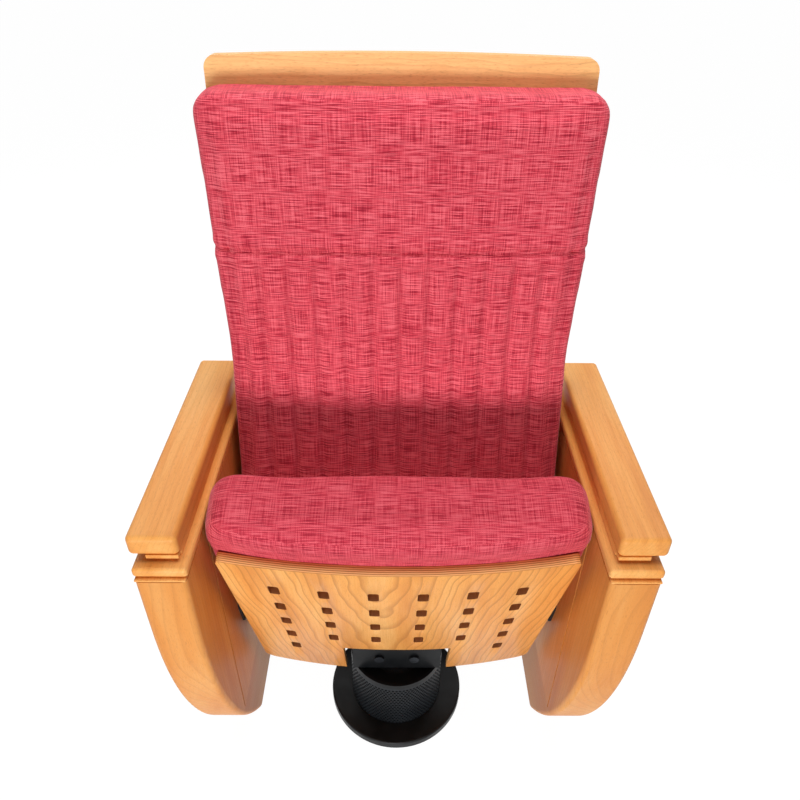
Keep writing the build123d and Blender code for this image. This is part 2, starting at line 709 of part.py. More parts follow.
def pad_outline():
    """The pad from the front: wide at the head, narrowing to fit between the armrests."""
    head, low = PAD_TOP_WIDTH / 2, PAD_LOW_WIDTH / 2
    points = [
        (-head, PAD_TOP),
        (head, PAD_TOP),
        (low, PAD_TAPER_END),
        (low, PAD_BOTTOM),
        (-low, PAD_BOTTOM),
        (-low, PAD_TAPER_END),
    ]
    outline = make_face(Polyline(*points, close=True))
    by_height = outline.vertices().sort_by(Axis.Y)
    outline = fillet(by_height[:2] + by_height[-2:], PAD_CORNER)
    taper_end = sorted(outline.vertices(), key=lambda v: abs(v.Y - PAD_TAPER_END))[:2]
    return fillet(taper_end, PAD_TAPER_ROUND)


def pad_crown_section():
    """The pad's section across, with a crowned front; drawn before the shell's face."""
    half = PAD_TOP_WIDTH / 2
    side_depth = PAD_THICK - PAD_CROWN
    return make_face(
        [
            ThreePointArc((-half, side_depth), (0, PAD_THICK), (half, side_depth)),
            Line((half, side_depth), (half, FIT)),
            Line((half, FIT), (-half, FIT)),
            Line((-half, FIT), (-half, side_depth)),
        ]
    )


def crown_drop(x):
    """How far the pad's crowned face has fallen back at this place across."""
    half = PAD_TOP_WIDTH / 2
    radius = (half**2 + PAD_CROWN**2) / (2 * PAD_CROWN)
    return set_back(radius, x)


def back_sweep(section, forward, top, bottom, x=0.0):
    """A section swept down the back's line, which lies this far before the shell's face."""
    path = Plane.YZ.offset(x) * Wire(back_edges(forward, top, bottom))
    start = path @ 0
    normal = path % 0
    plane = Plane(origin=start, x_dir=(1, 0, 0), z_dir=normal)
    return sweep(plane * section, path=path)


def channel_cutters():
    """Round bars that press the upright channels into the pad's face, below its seam."""
    bar = Circle(CHANNEL_RADIUS)
    low = PAD_BOTTOM - PAD_CORNER
    cutters = []
    for line in range(CHANNEL_COUNT + 1):
        x = (line - CHANNEL_COUNT / 2) * CHANNEL_PITCH
        forward = PAD_THICK - crown_drop(x) + CHANNEL_RADIUS - CHANNEL_DEPTH
        cutters.append(back_sweep(bar, forward, PAD_SEAM, low, x))
    return cutters


def seam_cutter():
    """A round bar that presses the level seam between the head pad and the channels."""
    forward = PAD_THICK + SEAM_RADIUS - SEAM_DEPTH
    middle = back_edges(forward, PAD_SEAM, PAD_BOTTOM)[0] @ 0
    side = back_edges(forward - PAD_CROWN, PAD_SEAM, PAD_BOTTOM)[0] @ 0
    half = PAD_TOP_WIDTH / 2
    ends = [(x, side.X, PAD_SEAM) for x in (-half, half)]
    path = ThreePointArc(ends[0], (0, middle.X, PAD_SEAM), ends[1])
    plane = Plane(origin=path @ 0, z_dir=path % 0)
    return sweep(plane * Circle(SEAM_RADIUS), path=path)


def back_pad():
    """The crowned back pad with its seam, its upright channels and the pocket for its board."""
    bent = back_sweep(pad_crown_section(), 0, PAD_TOP + PAD_THICK, PAD_BOTTOM - PAD_THICK)
    pad = bent & front_prism(pad_outline(), PANEL_FRONT, 2 * PANEL_REAR)
    return round_pad_front(pad) - pad_carrier(FIT) - channel_cutters() - seam_cutter()


def round_pad_front(pad):
    """Rounds the edges around the pad's front face."""
    line = back_edges(PAD_THICK - 2 * PAD_CROWN, PAD_TOP + PAD_THICK, PAD_BOTTOM - PAD_THICK)
    front = []
    for edge in pad.edges():
        middle = edge @ 0.5
        inside_face = abs(middle.X) < FIT and PAD_BOTTOM + FIT < middle.Z < PAD_TOP - FIT
        if middle.Y < depth_at(line, middle.Z) and not inside_face:
            front.append(edge)
    return fillet(front, PAD_EDGE)


def depth_at(edges, z):
    """The Y of the back's line at this height."""
    for edge in edges:
        low, high = sorted(((edge @ 0).Y, (edge @ 1).Y))
        if low <= z <= high:
            share = ((edge @ 0).Y - z) / ((edge @ 0).Y - (edge @ 1).Y)
            return (edge @ share).X
    return (edges[-1] @ 1).X


def lower_point(forward, z):
    """The point at this height on the back's lower straight part, moved forward by this much."""
    _, _, lower, centre = back_normals()
    bend_low = centre - lower * (BEND_RADIUS - forward)
    return (bend_low.X - (bend_low.Y - z) * math.tan(math.radians(LEAN_LOWER)), z)


def back_bracket(side):
    """The steel angle that joins the shell's rear face to the side panel."""
    near = -BACK_THICK - FIT
    far = near - BRACKET_THICK
    blade_points = [
        lower_point(near, BRACKET_BOTTOM),
        lower_point(near, BRACKET_TOP),
        lower_point(far, BRACKET_TOP),
        lower_point(far, BRACKET_BOTTOM),
    ]
    rear = PANEL_REAR - BRACKET_REAR_MARGIN
    web_points = [
        lower_point(near, BRACKET_BOTTOM),
        lower_point(near, BRACKET_TOP),
        (rear, BRACKET_TOP),
        (rear, BRACKET_BOTTOM),
    ]
    wall = side * PANEL_INNER
    blade_face = make_face(Polyline(*blade_points, close=True))
    web_face = make_face(Polyline(*web_points, close=True))
    blade = side_prism(blade_face, wall - side * BRACKET_REACH, wall)
    return blade + side_prism(web_face, wall - side * BRACKET_THICK, wall)


# ---------------------------------------------------------------- pedestal
def base_cover():
    """The round cover over the floor flange."""
    outer = drum(BASE_RADIUS, 0, BASE_HEIGHT)
    outer = fillet(outer.edges().sort_by(Axis.Z)[-1], BASE_ROUND)
    inside = drum(BASE_RADIUS - COVER_WALL, -FIT, BASE_HEIGHT - COVER_WALL)
    return outer - inside - drum(COLUMN_RADIUS + COVER_BORE_GAP, 0, 2 * BASE_HEIGHT)


def base_flange():
    """The steel floor flange, with its circle of bolt holes."""
    flange = drum(BASE_RADIUS - COVER_WALL - FLANGE_GAP, 0, FLANGE_THICK)
    for number in range(FLOOR_HOLE_COUNT):
        angle = 360 / FLOOR_HOLE_COUNT * (number + 0.5)
        x, y = polar(FLOOR_HOLE_CIRCLE, angle)
        flange -= drum(FLOOR_HOLE_RADIUS, -FIT, FLANGE_THICK + FIT, x, y)
    return flange


def tie_rods():
    """Four rods that carry the head on the flange."""
    return [drum(TIE_RADIUS, FLANGE_THICK, COLUMN_TOP, *polar(TIE_CIRCLE, turn)) for turn in TIE_ANGLES]


def column_filter():
    """The drum of filter foam inside the perforated sleeve."""
    core = drum(COLUMN_RADIUS - SLEEVE_WALL - FIT, FLANGE_THICK, COLUMN_TOP - DISH_DEPTH - DISH_FLOOR)
    for turn in TIE_ANGLES:
        core -= drum(TIE_RADIUS + PIN_CLEARANCE, 0, COLUMN_TOP, *polar(TIE_CIRCLE, turn))
    return core


def column_sleeve():
    """The sheet sleeve round the pedestal."""
    top = COLUMN_TOP - DISH_DEPTH
    sleeve = drum(COLUMN_RADIUS, FLANGE_THICK, top)
    return sleeve - drum(COLUMN_RADIUS - SLEEVE_WALL, 0, COLUMN_TOP)


def column_dish():
    """The sunken top of the pedestal with its rim."""
    floor_low = COLUMN_TOP - DISH_DEPTH - DISH_FLOOR
    inside = COLUMN_RADIUS - SLEEVE_WALL - FIT
    floor = drum(inside, floor_low, COLUMN_TOP - DISH_DEPTH)
    rim = drum(COLUMN_RADIUS, COLUMN_TOP - DISH_DEPTH, COLUMN_TOP)
    dish = floor + rim - drum(COLUMN_RADIUS - DISH_RIM, COLUMN_TOP - DISH_DEPTH, 2 * COLUMN_TOP)
    dish -= drum(DISH_HOLE, 0, COLUMN_TOP)
    for turn in TIE_ANGLES:
        dish -= drum(TIE_RADIUS + PIN_CLEARANCE, 0, 2 * COLUMN_TOP, *polar(TIE_CIRCLE, turn))
    return dish


# ---------------------------------------------------------------- head and beam
def head_floor():
    """The flat plate of the head, on the rim and the rods."""
    half = HEAD_WIDTH / 2 - HEAD_PLATE
    beam_front = BEAM_Y - BEAM_SIZE / 2 - HEAD_PLATE
    return box_between(
        (-half, HEAD_FRONT + HEAD_PLATE, COLUMN_TOP), (half, beam_front, COLUMN_TOP + HEAD_FLOOR)
    )


def head_bolt_places():
    """Middles of the two bolts across the head's front plate."""
    return (-HEAD_BOLT_SPACING / 2, HEAD_BOLT_SPACING / 2)


def head_front():
    """The upright plate at the front of the head."""
    half = HEAD_WIDTH / 2
    plate = box_between((-half, HEAD_FRONT, COLUMN_TOP), (half, HEAD_FRONT + HEAD_PLATE, HEAD_TOP))
    for x in head_bolt_places():
        ends = HEAD_FRONT - HEAD_PLATE, HEAD_FRONT + 2 * HEAD_PLATE
        plate -= along_y(HEAD_BOLT_RADIUS + PIN_CLEARANCE, *ends, x, HEAD_BOLT_Z)
    return plate


def head_bolts():
    """The two bolts in the head's front plate, with their nuts behind it."""
    head_radius = HEAD_BOLT_RADIUS * BOLT_HEAD_RATIO
    bolts = []
    for x in head_bolt_places():
        inside = HEAD_FRONT + HEAD_PLATE
        head = along_y(head_radius, HEAD_FRONT - HEAD_PLATE, HEAD_FRONT, x, HEAD_BOLT_Z)
        shank = along_y(HEAD_BOLT_RADIUS, HEAD_FRONT, inside, x, HEAD_BOLT_Z)
        nut = along_y(head_radius, inside, inside + 2 * HEAD_PLATE, x, HEAD_BOLT_Z)
        bolts.append(head + shank + nut)
    return bolts


def head_cheek(side):
    """The side plate of the head, which steps down behind the column to the beam."""
    beam_front = BEAM_Y - BEAM_SIZE / 2 - HEAD_PLATE
    behind_column = COLUMN_RADIUS + 2 * COVER_BORE_GAP
    beam_low = BEAM_Z - BEAM_SIZE / 2
    points = [
        (HEAD_FRONT + HEAD_PLATE, COLUMN_TOP),
        (HEAD_FRONT + HEAD_PLATE, HEAD_TOP),
        (HEAD_FRONT + HEAD_TOP_LENGTH, HEAD_TOP),
        (beam_front, HEAD_REAR_TOP),
        (beam_front, beam_low),
        (behind_column, beam_low),
        (behind_column, COLUMN_TOP),
    ]
    face = make_face(Polyline(*points, close=True))
    half = HEAD_WIDTH / 2
    return side_prism(face, side * (half - HEAD_PLATE), side * half)


def head_beam_plate():
    """The plate of the head that lies against the beam."""
    half = HEAD_WIDTH / 2
    front = BEAM_Y - BEAM_SIZE / 2 - HEAD_PLATE
    low = BEAM_Z - BEAM_SIZE / 2
    return box_between((-half, front, low), (half, front + HEAD_PLATE, HEAD_REAR_TOP))


def cross_beam():
    """The square steel tube from one side panel to the other."""
    end = PANEL_INNER - BEAM_FLANGE_THICK
    half = BEAM_SIZE / 2
    tube = box_between((-end, BEAM_Y - half, BEAM_Z - half), (end, BEAM_Y + half, BEAM_Z + half))
    bore = half - BEAM_WALL
    hollow = box_between(
        (-PANEL_INNER, BEAM_Y - bore, BEAM_Z - bore), (PANEL_INNER, BEAM_Y + bore, BEAM_Z + bore)
    )
    return tube - hollow


def beam_bolt_places():
    """Middles of a beam flange's two bolts, over and under the beam."""
    offset = (BEAM_SIZE / 2 + BEAM_FLANGE_HEIGHT / 2) / 2
    return [(BEAM_Y, BEAM_Z - offset), (BEAM_Y, BEAM_Z + offset)]


def beam_flange(side):
    """The plate at one end of the beam, on the panel's foot."""
    half_y, half_z = BEAM_FLANGE_DEPTH / 2, BEAM_FLANGE_HEIGHT / 2
    inner, outer = sorted((side * (PANEL_INNER - BEAM_FLANGE_THICK), side * PANEL_INNER))
    plate = box_between(
        (inner, BEAM_Y - half_y, BEAM_Z - half_z), (outer, BEAM_Y + half_y, BEAM_Z + half_z)
    )
    for y, z in beam_bolt_places():
        plate -= along_x(BEAM_BOLT_RADIUS + PIN_CLEARANCE, inner - FIT, outer + FIT, y, z)
    return plate


def beam_bolts():
    """The bolts that hold both beam flanges to the feet."""
    face = PANEL_INNER - BEAM_FLANGE_THICK
    end = PANEL_INNER + BEAM_BOLT_IN_FOOT
    head_radius = BEAM_BOLT_RADIUS * BOLT_HEAD_RATIO
    bolts = []
    for _, side in SIDES:
        for y, z in beam_bolt_places():
            shank = along_x(BEAM_BOLT_RADIUS, side * face, side * end, y, z)
            head = along_x(head_radius, side * (face - BEAM_BOLT_RADIUS), side * face, y, z)
            bolts.append(shank + head)
    return bolts


# ---------------------------------------------------------------- the assembly
def write(name, shape):
    """Writes one node; a list is a group of separate solids."""
    if isinstance(shape, (list, tuple)):
        shape = Compound(children=list(shape))
    export_step(shape, f"parts/{name}.step")


def main():
    os.makedirs("parts", exist_ok=True)
    single = (
        foot_glides, seat_pan, seat_board, seat_cushion, tube_saddles, hinge_tube, seat_stops,
        back_shell, pad_carrier, back_pad, base_cover, base_flange, tie_rods, column_filter,
        column_sleeve, column_dish, head_floor, head_front, head_bolts, head_beam_plate,
        cross_beam, beam_bolts,
    )
    paired = (
        side_panel, panel_foot, panel_bead, panel_cap, arm_neck, armrest, pivot_pin,
        return_spring, stop_lever, pivot_plate, pivot_bush, back_bracket, head_cheek, beam_flange,
    )
    for make in single:
        write(make.__name__, make())
    for make in paired:
        for suffix, side in SIDES:
            write(f"{make.__name__}_{suffix}", make(side))


main()
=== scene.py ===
"""Looks of a tip-up auditorium seat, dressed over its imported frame.

Metres, in the frame's axes: X across the seat, Y to the back, Z up.  Solids that have the right
shape get a finish here.  These are modelled again: the cushion and the back pad as blown-up cloth,
the pan with its slots, the mouldings of the side panels and the pedestal's perforated sleeve.
"""
import json
import math

import bmesh
import bpy
import numpy as np
from mathutils import Matrix, Vector, noise


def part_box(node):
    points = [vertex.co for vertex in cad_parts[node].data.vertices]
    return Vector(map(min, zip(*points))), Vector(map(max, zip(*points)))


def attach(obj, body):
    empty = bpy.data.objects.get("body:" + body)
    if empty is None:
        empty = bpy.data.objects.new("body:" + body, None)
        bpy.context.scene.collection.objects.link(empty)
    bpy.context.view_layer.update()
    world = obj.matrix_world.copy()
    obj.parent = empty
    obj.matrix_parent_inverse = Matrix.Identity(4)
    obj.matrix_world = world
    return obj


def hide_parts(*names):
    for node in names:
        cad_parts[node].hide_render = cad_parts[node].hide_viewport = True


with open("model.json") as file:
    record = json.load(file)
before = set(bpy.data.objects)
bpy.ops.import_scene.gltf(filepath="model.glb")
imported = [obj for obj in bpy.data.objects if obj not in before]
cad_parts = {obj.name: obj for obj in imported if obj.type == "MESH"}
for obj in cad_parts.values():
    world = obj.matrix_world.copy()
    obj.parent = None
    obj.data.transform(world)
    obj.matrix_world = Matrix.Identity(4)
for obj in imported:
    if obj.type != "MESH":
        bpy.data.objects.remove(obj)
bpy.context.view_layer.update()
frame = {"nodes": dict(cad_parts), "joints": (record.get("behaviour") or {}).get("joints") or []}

# ------------------------------------------------------------------ places taken from the frame
AXIS = Vector(frame["joints"][0]["pos_m"])  # hinge of the seat
SIDEWAYS, BACKWARD, UPWARD = (1.0, 0.0, 0.0), (0.0, 1.0, 0.0), (0.0, 0.0, 1.0)
SEAT_LEAN = math.radians(19.53)  # lean of the raised pan to the front
ALONG_PAN = Vector((0.0, -math.sin(SEAT_LEAN), math.cos(SEAT_LEAN)))  # up along the pan
OUT_OF_PAN = Vector((0.0, -math.cos(SEAT_LEAN), -math.sin(SEAT_LEAN)))  # away from the cushion
PAN_FACE = 0.062  # middle of the pan's outer face, in front of the hinge
PAN_RADIUS = 1.45  # of its bend
PAN_ABOVE = 0.264  # from the hinge up to the pan's top edge
PAN_CORNER = 0.236  # from the middle to the corners of the pan's top edge
PAN_BACK = 0.050  # pan's inner face, in front of the hinge
PLY_LAYER = 0.0014
NOTCH_TOP = -0.086  # of the notch round the pedestal, from the hinge
NOTCH_SIDE = 0.15  # farther from the middle than this the pan has no notch
SHELL_SLOPE = 0.2962  # of the back shell, from upright

SLOT_WIDTH = 0.0155
SLOT_HEIGHT = 0.030
SLOT_CORNER = 0.004
SLOT_PITCH = 0.069
SLOT_FIRST = 0.1816  # highest row of slots, from the hinge
SLOT_COLUMNS = 6
SLOT_ROWS = 4  # the two outer columns have one more
SLOT_FIELD_SIDE = 0.185  # the slots lie within this of the middle
SLOT_FIELD_LOW, SLOT_FIELD_HIGH = -0.12, 0.21  # and between these, from the hinge

SEAM_HEIGHT = 0.871  # of the seam across the back pad
FLUTE_PITCH = 0.039
FLUTE_COUNT = 10


# ------------------------------------------------------------------ node helpers
def srgb(red, green, blue):
    """A colour given as 0 to 255, in the linear values that nodes take."""
    def linear(value):
        value /= 255.0
        return value / 12.92 if value <= 0.04045 else ((value + 0.055) / 1.055) ** 2.4
    return (linear(red), linear(green), linear(blue), 1.0)


def grey(value):
    return (value, value, value, 1.0)


class Finish:
    """A material, with short calls for the nodes used here."""

    def __init__(self, name, roughness, **constants):
        self.material = bpy.data.materials.new(name)
        self.material.use_nodes = True
        self.tree = self.material.node_tree
        self.shader = self.tree.nodes["Principled BSDF"]
        self.shader.inputs["Roughness"].default_value = roughness
        for socket, value in constants.items():
            self.shader.inputs[socket.replace("_", " ")].default_value = value
        where = self.add("TexCoord")
        self.place = where.outputs["Object"]
        self.facing = where.outputs["Normal"]

    def add(self, kind, *values, **settings):
        """A node, with its settings and then its sockets in order."""
        made = self.tree.nodes.new("ShaderNode" + kind)
        for key, value in settings.items():
            setattr(made, key, value)
        for socket, value in zip(made.inputs, values):
            self.give(socket, value)
        return made

    def give(self, socket, value):
        if isinstance(value, bpy.types.NodeSocket):
            self.tree.links.new(value, socket)
        elif value is not None:
            socket.default_value = value

    def math(self, operation, *values):
        return self.add("Math", *values, operation=operation).outputs[0]

    def dot(self, vector, direction):
        made = self.add("VectorMath", vector, tuple(direction), operation="DOT_PRODUCT")
        return made.outputs["Value"]

    def stretched(self, *pairs, layer=0.0):
        """A vector of (value, scale) pairs, for noise that is finer one way than another.

        With two pairs, layer is the third value, which picks another slice of the noise.
        """
        parts = [self.math("MULTIPLY", value, scale) for value, scale in pairs]
        return self.add("CombineXYZ", *parts, layer).outputs[0]

    def scaled(self, vector, sizes):
        return self.add("VectorMath", vector, sizes, operation="MULTIPLY").outputs[0]

    def noise(self, vector, scale, detail=2.0, roughness=0.5):
        made = self.add("TexNoise")
        self.give(made.inputs["Vector"], vector)
        self.give(made.inputs["Scale"], scale)
        self.give(made.inputs["Detail"], detail)
        self.give(made.inputs["Roughness"], roughness)
        return made.outputs[0]

    def ramp(self, value, *stops):
        made = self.add("ValToRGB", value)
        points = made.color_ramp.elements
        while len(points) < len(stops):
            points.new(0.5)
        for point, (position, colour) in zip(points, stops):
            point.position = position
            point.color = colour
        return made.outputs[0]

    def between(self, value, low, high, to_low=0.0, to_high=1.0):
        made = self.add("MapRange", value, low, high, to_low, to_high)
        made.clamp = True
        return made.outputs[0]

    def mix(self, factor, first, second):
        """A colour that goes from first to second with the factor."""
        made = self.add("Mix", data_type="RGBA")
        self.give(made.inputs[0], factor)
        self.give(made.inputs[6], first)
        self.give(made.inputs[7], second)
        return made.outputs[2]

    def choose(self, factor, first, second):
        """A number that goes from first to second with the factor."""
        made = self.add("Mix", data_type="FLOAT")
        self.give(made.inputs[0], factor)
        self.give(made.inputs[2], first)
        self.give(made.inputs[3], second)
        return made.outputs[0]

    def bump(self, height, depth, strength):
        made = self.add("Bump")
        self.give(made.inputs["Strength"], strength)
        self.give(made.inputs["Distance"], depth)
        self.give(made.inputs["Height"], height)
        self.give(self.shader.inputs["Normal"], made.outputs[0])

    def colour(self, value):
        self.give(self.shader.inputs["Base Color"], value)

    def rough(self, value):
        self.give(self.shader.inputs["Roughness"], value)


# ------------------------------------------------------------------ wood
HONEY_PALE = srgb(246, 186, 110)
HONEY = srgb(236, 164, 84)
HONEY_DEEP = srgb(214, 136, 62)
HONEY_DARK = srgb(164, 96, 38)
HONEY_BROWN = srgb(206, 126, 54)
BACK_PALE = srgb(255, 206, 136)
# painted shade on the walls of the pan's slots
SLOT_WALL_PAINTED_SHADE = srgb(140, 84, 48)
WOOD_GLOSS = {"Coat_Roughness": 0.25, "Coat_Weight": 0.04, "Specular_IOR_Level": 0.25}
VENEER_GLOSS = {"Coat_Roughness": 0.22, "Coat_Weight": 0.05, "Specular_IOR_Level": 0.25}
PORE_RANGE = (0.58, 0.68)  # of the noise, in which pores set in
RING_UNEVEN = 2.2  # periods by which growth rings come early or late
GRAIN_DEPTH = 0.00025


def fibres(finish, along, across, depth):
    """(fine streaks, pores) of wood whose grain runs with the first value."""
    fine = finish.noise(finish.stretched(
        (along, 18.0), (across, 420.0), (depth, 420.0)), 1.0, 3.0, 0.6)
    pores = finish.noise(finish.stretched(
        (along, 130.0), (across, 1500.0), (depth, 1500.0)), 1.0, 2.0, 0.5)
    return fine, finish.between(pores, *PORE_RANGE)


def ringed(finish, field, period):
    """Growth rings of a field of distance: each ring darkens slowly and ends sharply."""
    uneven = finish.noise(finish.stretched((field, 24.0)), 1.0, 1.0)
    turn = finish.math("FRACT", finish.math("ADD", finish.math("DIVIDE", field, period),
                                            finish.math("MULTIPLY", uneven, RING_UNEVEN)))
    return finish.ramp(turn, (0.0, grey(0.0)), (0.66, grey(0.10)), (0.93, grey(1.0)),
                       (1.0, grey(0.0)))


def lacquer(finish, tone, rings, fine, pores, ring_strength, tint=HONEY, share=0.0):
    """Colour, gloss and relief of lacquered beech from its grain, with a share of a tint."""
    base = finish.ramp(tone, (0.30, HONEY_DEEP), (0.48, HONEY), (0.68, HONEY_PALE))
    if share:
        base = finish.mix(share, base, tint)
    ringy = finish.mix(finish.math("MULTIPLY", rings, ring_strength), base, HONEY_DARK)
    streaky = finish.mix(finish.between(fine, 0.35, 0.75, 0.0, 0.30), ringy, HONEY_DEEP)
    finish.colour(finish.mix(finish.math("MULTIPLY", pores, 0.35), streaky, HONEY_DARK))
    finish.rough(finish.between(fine, 0.3, 0.7, 0.40, 0.54))
    height = finish.math("SUBTRACT", finish.math("MULTIPLY", fine, 0.5),
                         finish.math("MULTIPLY", pores, 0.6))
    finish.bump(height, GRAIN_DEPTH, 0.6)


def board_wood(name, along, across, tilt=0.45, period=0.009, ring_strength=0.20, share=0.0):
    """Straight-grained solid wood.  The grain runs with the first direction."""
    finish = Finish(name, 0.42, **WOOD_GLOSS)
    thick = Vector(along).cross(Vector(across))
    a = finish.dot(finish.place, along)
    b = finish.dot(finish.place, across)
    c = finish.dot(finish.place, thick)
    sway = finish.noise(finish.stretched((a, 2.6), (b, 7.0), (c, 7.0)), 1.0, 2.0, 0.45)
    field = finish.math("ADD", finish.math("ADD", b, finish.math("MULTIPLY", c, tilt)),
                        finish.math("MULTIPLY", sway, 0.045))
    fine, pores = fibres(finish, a, b, c)
    tone = finish.noise(finish.stretched((a, 2.0), (b, 22.0), (c, 22.0)), 1.0, 3.0, 0.55)
    lacquer(finish, tone, ringed(finish, field, period), fine, pores, ring_strength,
            HONEY_BROWN, share)
    return finish.material


def pan_coordinates(finish):
    """(up along the pan, across it, out of it) from the hinge."""
    from_axis = finish.add("VectorMath", finish.place, tuple(AXIS), operation="SUBTRACT").outputs[0]
    return (finish.dot(from_axis, ALONG_PAN), finish.dot(from_axis, SIDEWAYS),
            finish.dot(from_axis, OUT_OF_PAN))


def ply_stripes(finish, depth, wander):
    """Layers of a plywood edge, light and dark by turns."""
    layered = finish.math("ADD", depth, finish.math("MULTIPLY", wander, 0.0010))
    turn = finish.math("PINGPONG", finish.math("DIVIDE", layered, PLY_LAYER), 1.0)
    return finish.ramp(turn, (0.30, srgb(192, 126, 66)), (0.50, srgb(236, 170, 98)),
                       (0.80, srgb(250, 196, 126)))


HEART_ASIDE = 0.030  # from the pan's middle to the heart of its figure
HEART_WIDTH = 0.045
ARCH_SLOPE = 0.12


def pan_wood(name):
    """Flat-sawn face veneer with an arched figure, and striped edges, with painted shade on the
    walls of the slots.
    """
    finish = Finish(name, 0.40, **VENEER_GLOSS)
    a, b, c = pan_coordinates(finish)
    sway = finish.noise(finish.stretched((a, 5.0), (b, 9.0)), 1.0, 2.0, 0.5)
    off_heart = finish.math("ADD", b, HEART_ASIDE)
    spread = finish.math("SQRT", finish.math("ADD", finish.math("MULTIPLY", off_heart, off_heart),
                                             HEART_WIDTH ** 2))
    arch = finish.math("SUBTRACT", spread, finish.math("MULTIPLY", a, ARCH_SLOPE))
    field = finish.math("ADD", arch, finish.math("MULTIPLY", sway, 0.040))
    rings = ringed(finish, field, 0.0120)
    fine, pores = fibres(finish, a, b, c)
    tone = finish.noise(finish.stretched((a, 2.5), (b, 16.0)), 1.0, 3.0, 0.5)
    lacquer(finish, tone, rings, fine, pores, 0.55)
    face_colour = finish.shader.inputs["Base Color"].links[0].from_socket
    from_drum = finish.math("SUBTRACT", c, PAN_FACE - PAN_RADIUS)
    radius = finish.math("SQRT", finish.math("ADD", finish.math("MULTIPLY", from_drum, from_drum),
                                             finish.math("MULTIPLY", b, b)))
    edge = ply_stripes(finish, radius, finish.noise(finish.place, 60.0, 2.0))
    straight_on = finish.math("ABSOLUTE", finish.dot(finish.facing, OUT_OF_PAN))
    on_edge = finish.math("LESS_THAN", straight_on, 0.75)
    aside = finish.math("ABSOLUTE", b)
    above_notch = finish.math("MAXIMUM", finish.math("GREATER_THAN", a, NOTCH_TOP + 0.004),
                              finish.math("GREATER_THAN", aside, NOTCH_SIDE))
    within = finish.math("MULTIPLY", finish.math("LESS_THAN", aside, SLOT_FIELD_SIDE),
                         finish.math("MULTIPLY", finish.math("GREATER_THAN", a, SLOT_FIELD_LOW),
                                     finish.math("LESS_THAN", a, SLOT_FIELD_HIGH)))
    # painted shade: the edges within the slot field are darker than the striped ply edges
    edge = finish.mix(finish.math("MULTIPLY", within, above_notch), edge, SLOT_WALL_PAINTED_SHADE)
    finish.colour(finish.mix(on_edge, face_colour, edge))
    return finish.material


def back_wood(name):
    """Face veneer with its grain across the back, and striped edges."""
    finish = Finish(name, 0.40, **VENEER_GLOSS)
    a = finish.dot(finish.place, SIDEWAYS)
    b = finish.dot(finish.place, UPWARD)
    c = finish.dot(finish.place, BACKWARD)
    sway = finish.noise(finish.stretched((a, 3.0), (b, 14.0)), 1.0, 3.0, 0.5)
    field = finish.math("ADD", b, finish.math("MULTIPLY", sway, 0.11))
    fine, pores = fibres(finish, a, b, c)
    tone = finish.noise(finish.stretched((a, 4.0), (b, 26.0)), 1.0, 3.0, 0.6)
    lacquer(finish, tone, ringed(finish, field, 0.017), fine, pores, 0.26, BACK_PALE, 0.85)
    face_colour = finish.shader.inputs["Base Color"].links[0].from_socket
    edge = ply_stripes(finish, finish.math("ADD", c, finish.math("MULTIPLY", b, -SHELL_SLOPE)),
                       finish.noise(finish.place, 60.0, 2.0))
    straight_on = finish.math("ABSOLUTE", finish.dot(finish.facing, BACKWARD))
    finish.colour(finish.mix(finish.math("LESS_THAN", straight_on, 0.6), face_colour, edge))
    return finish.material


# ------------------------------------------------------------------ fabric
RASPBERRY_DARK = srgb(150, 24, 46)
RASPBERRY = srgb(218, 62, 80)
RASPBERRY_LIGHT = srgb(244, 112, 124)
THREAD_PITCH = 0.0022
LYING_ALONG, LYING_ACROSS = 32.0, 960.0  # noise per metre, of the threads that lie with X
STANDING_ALONG, STANDING_ACROSS = 20.0, 960.0  # and of those that cross them
LYING_SHARE = 0.66  # of the first in the colour
GAP_PAINTED_SHADE = 0.30  # painted shade between the threads
FACE_TURN = 0.72  # part of the normal from which a face counts as a side or an end
WEAVE_DEPTH = 0.0006


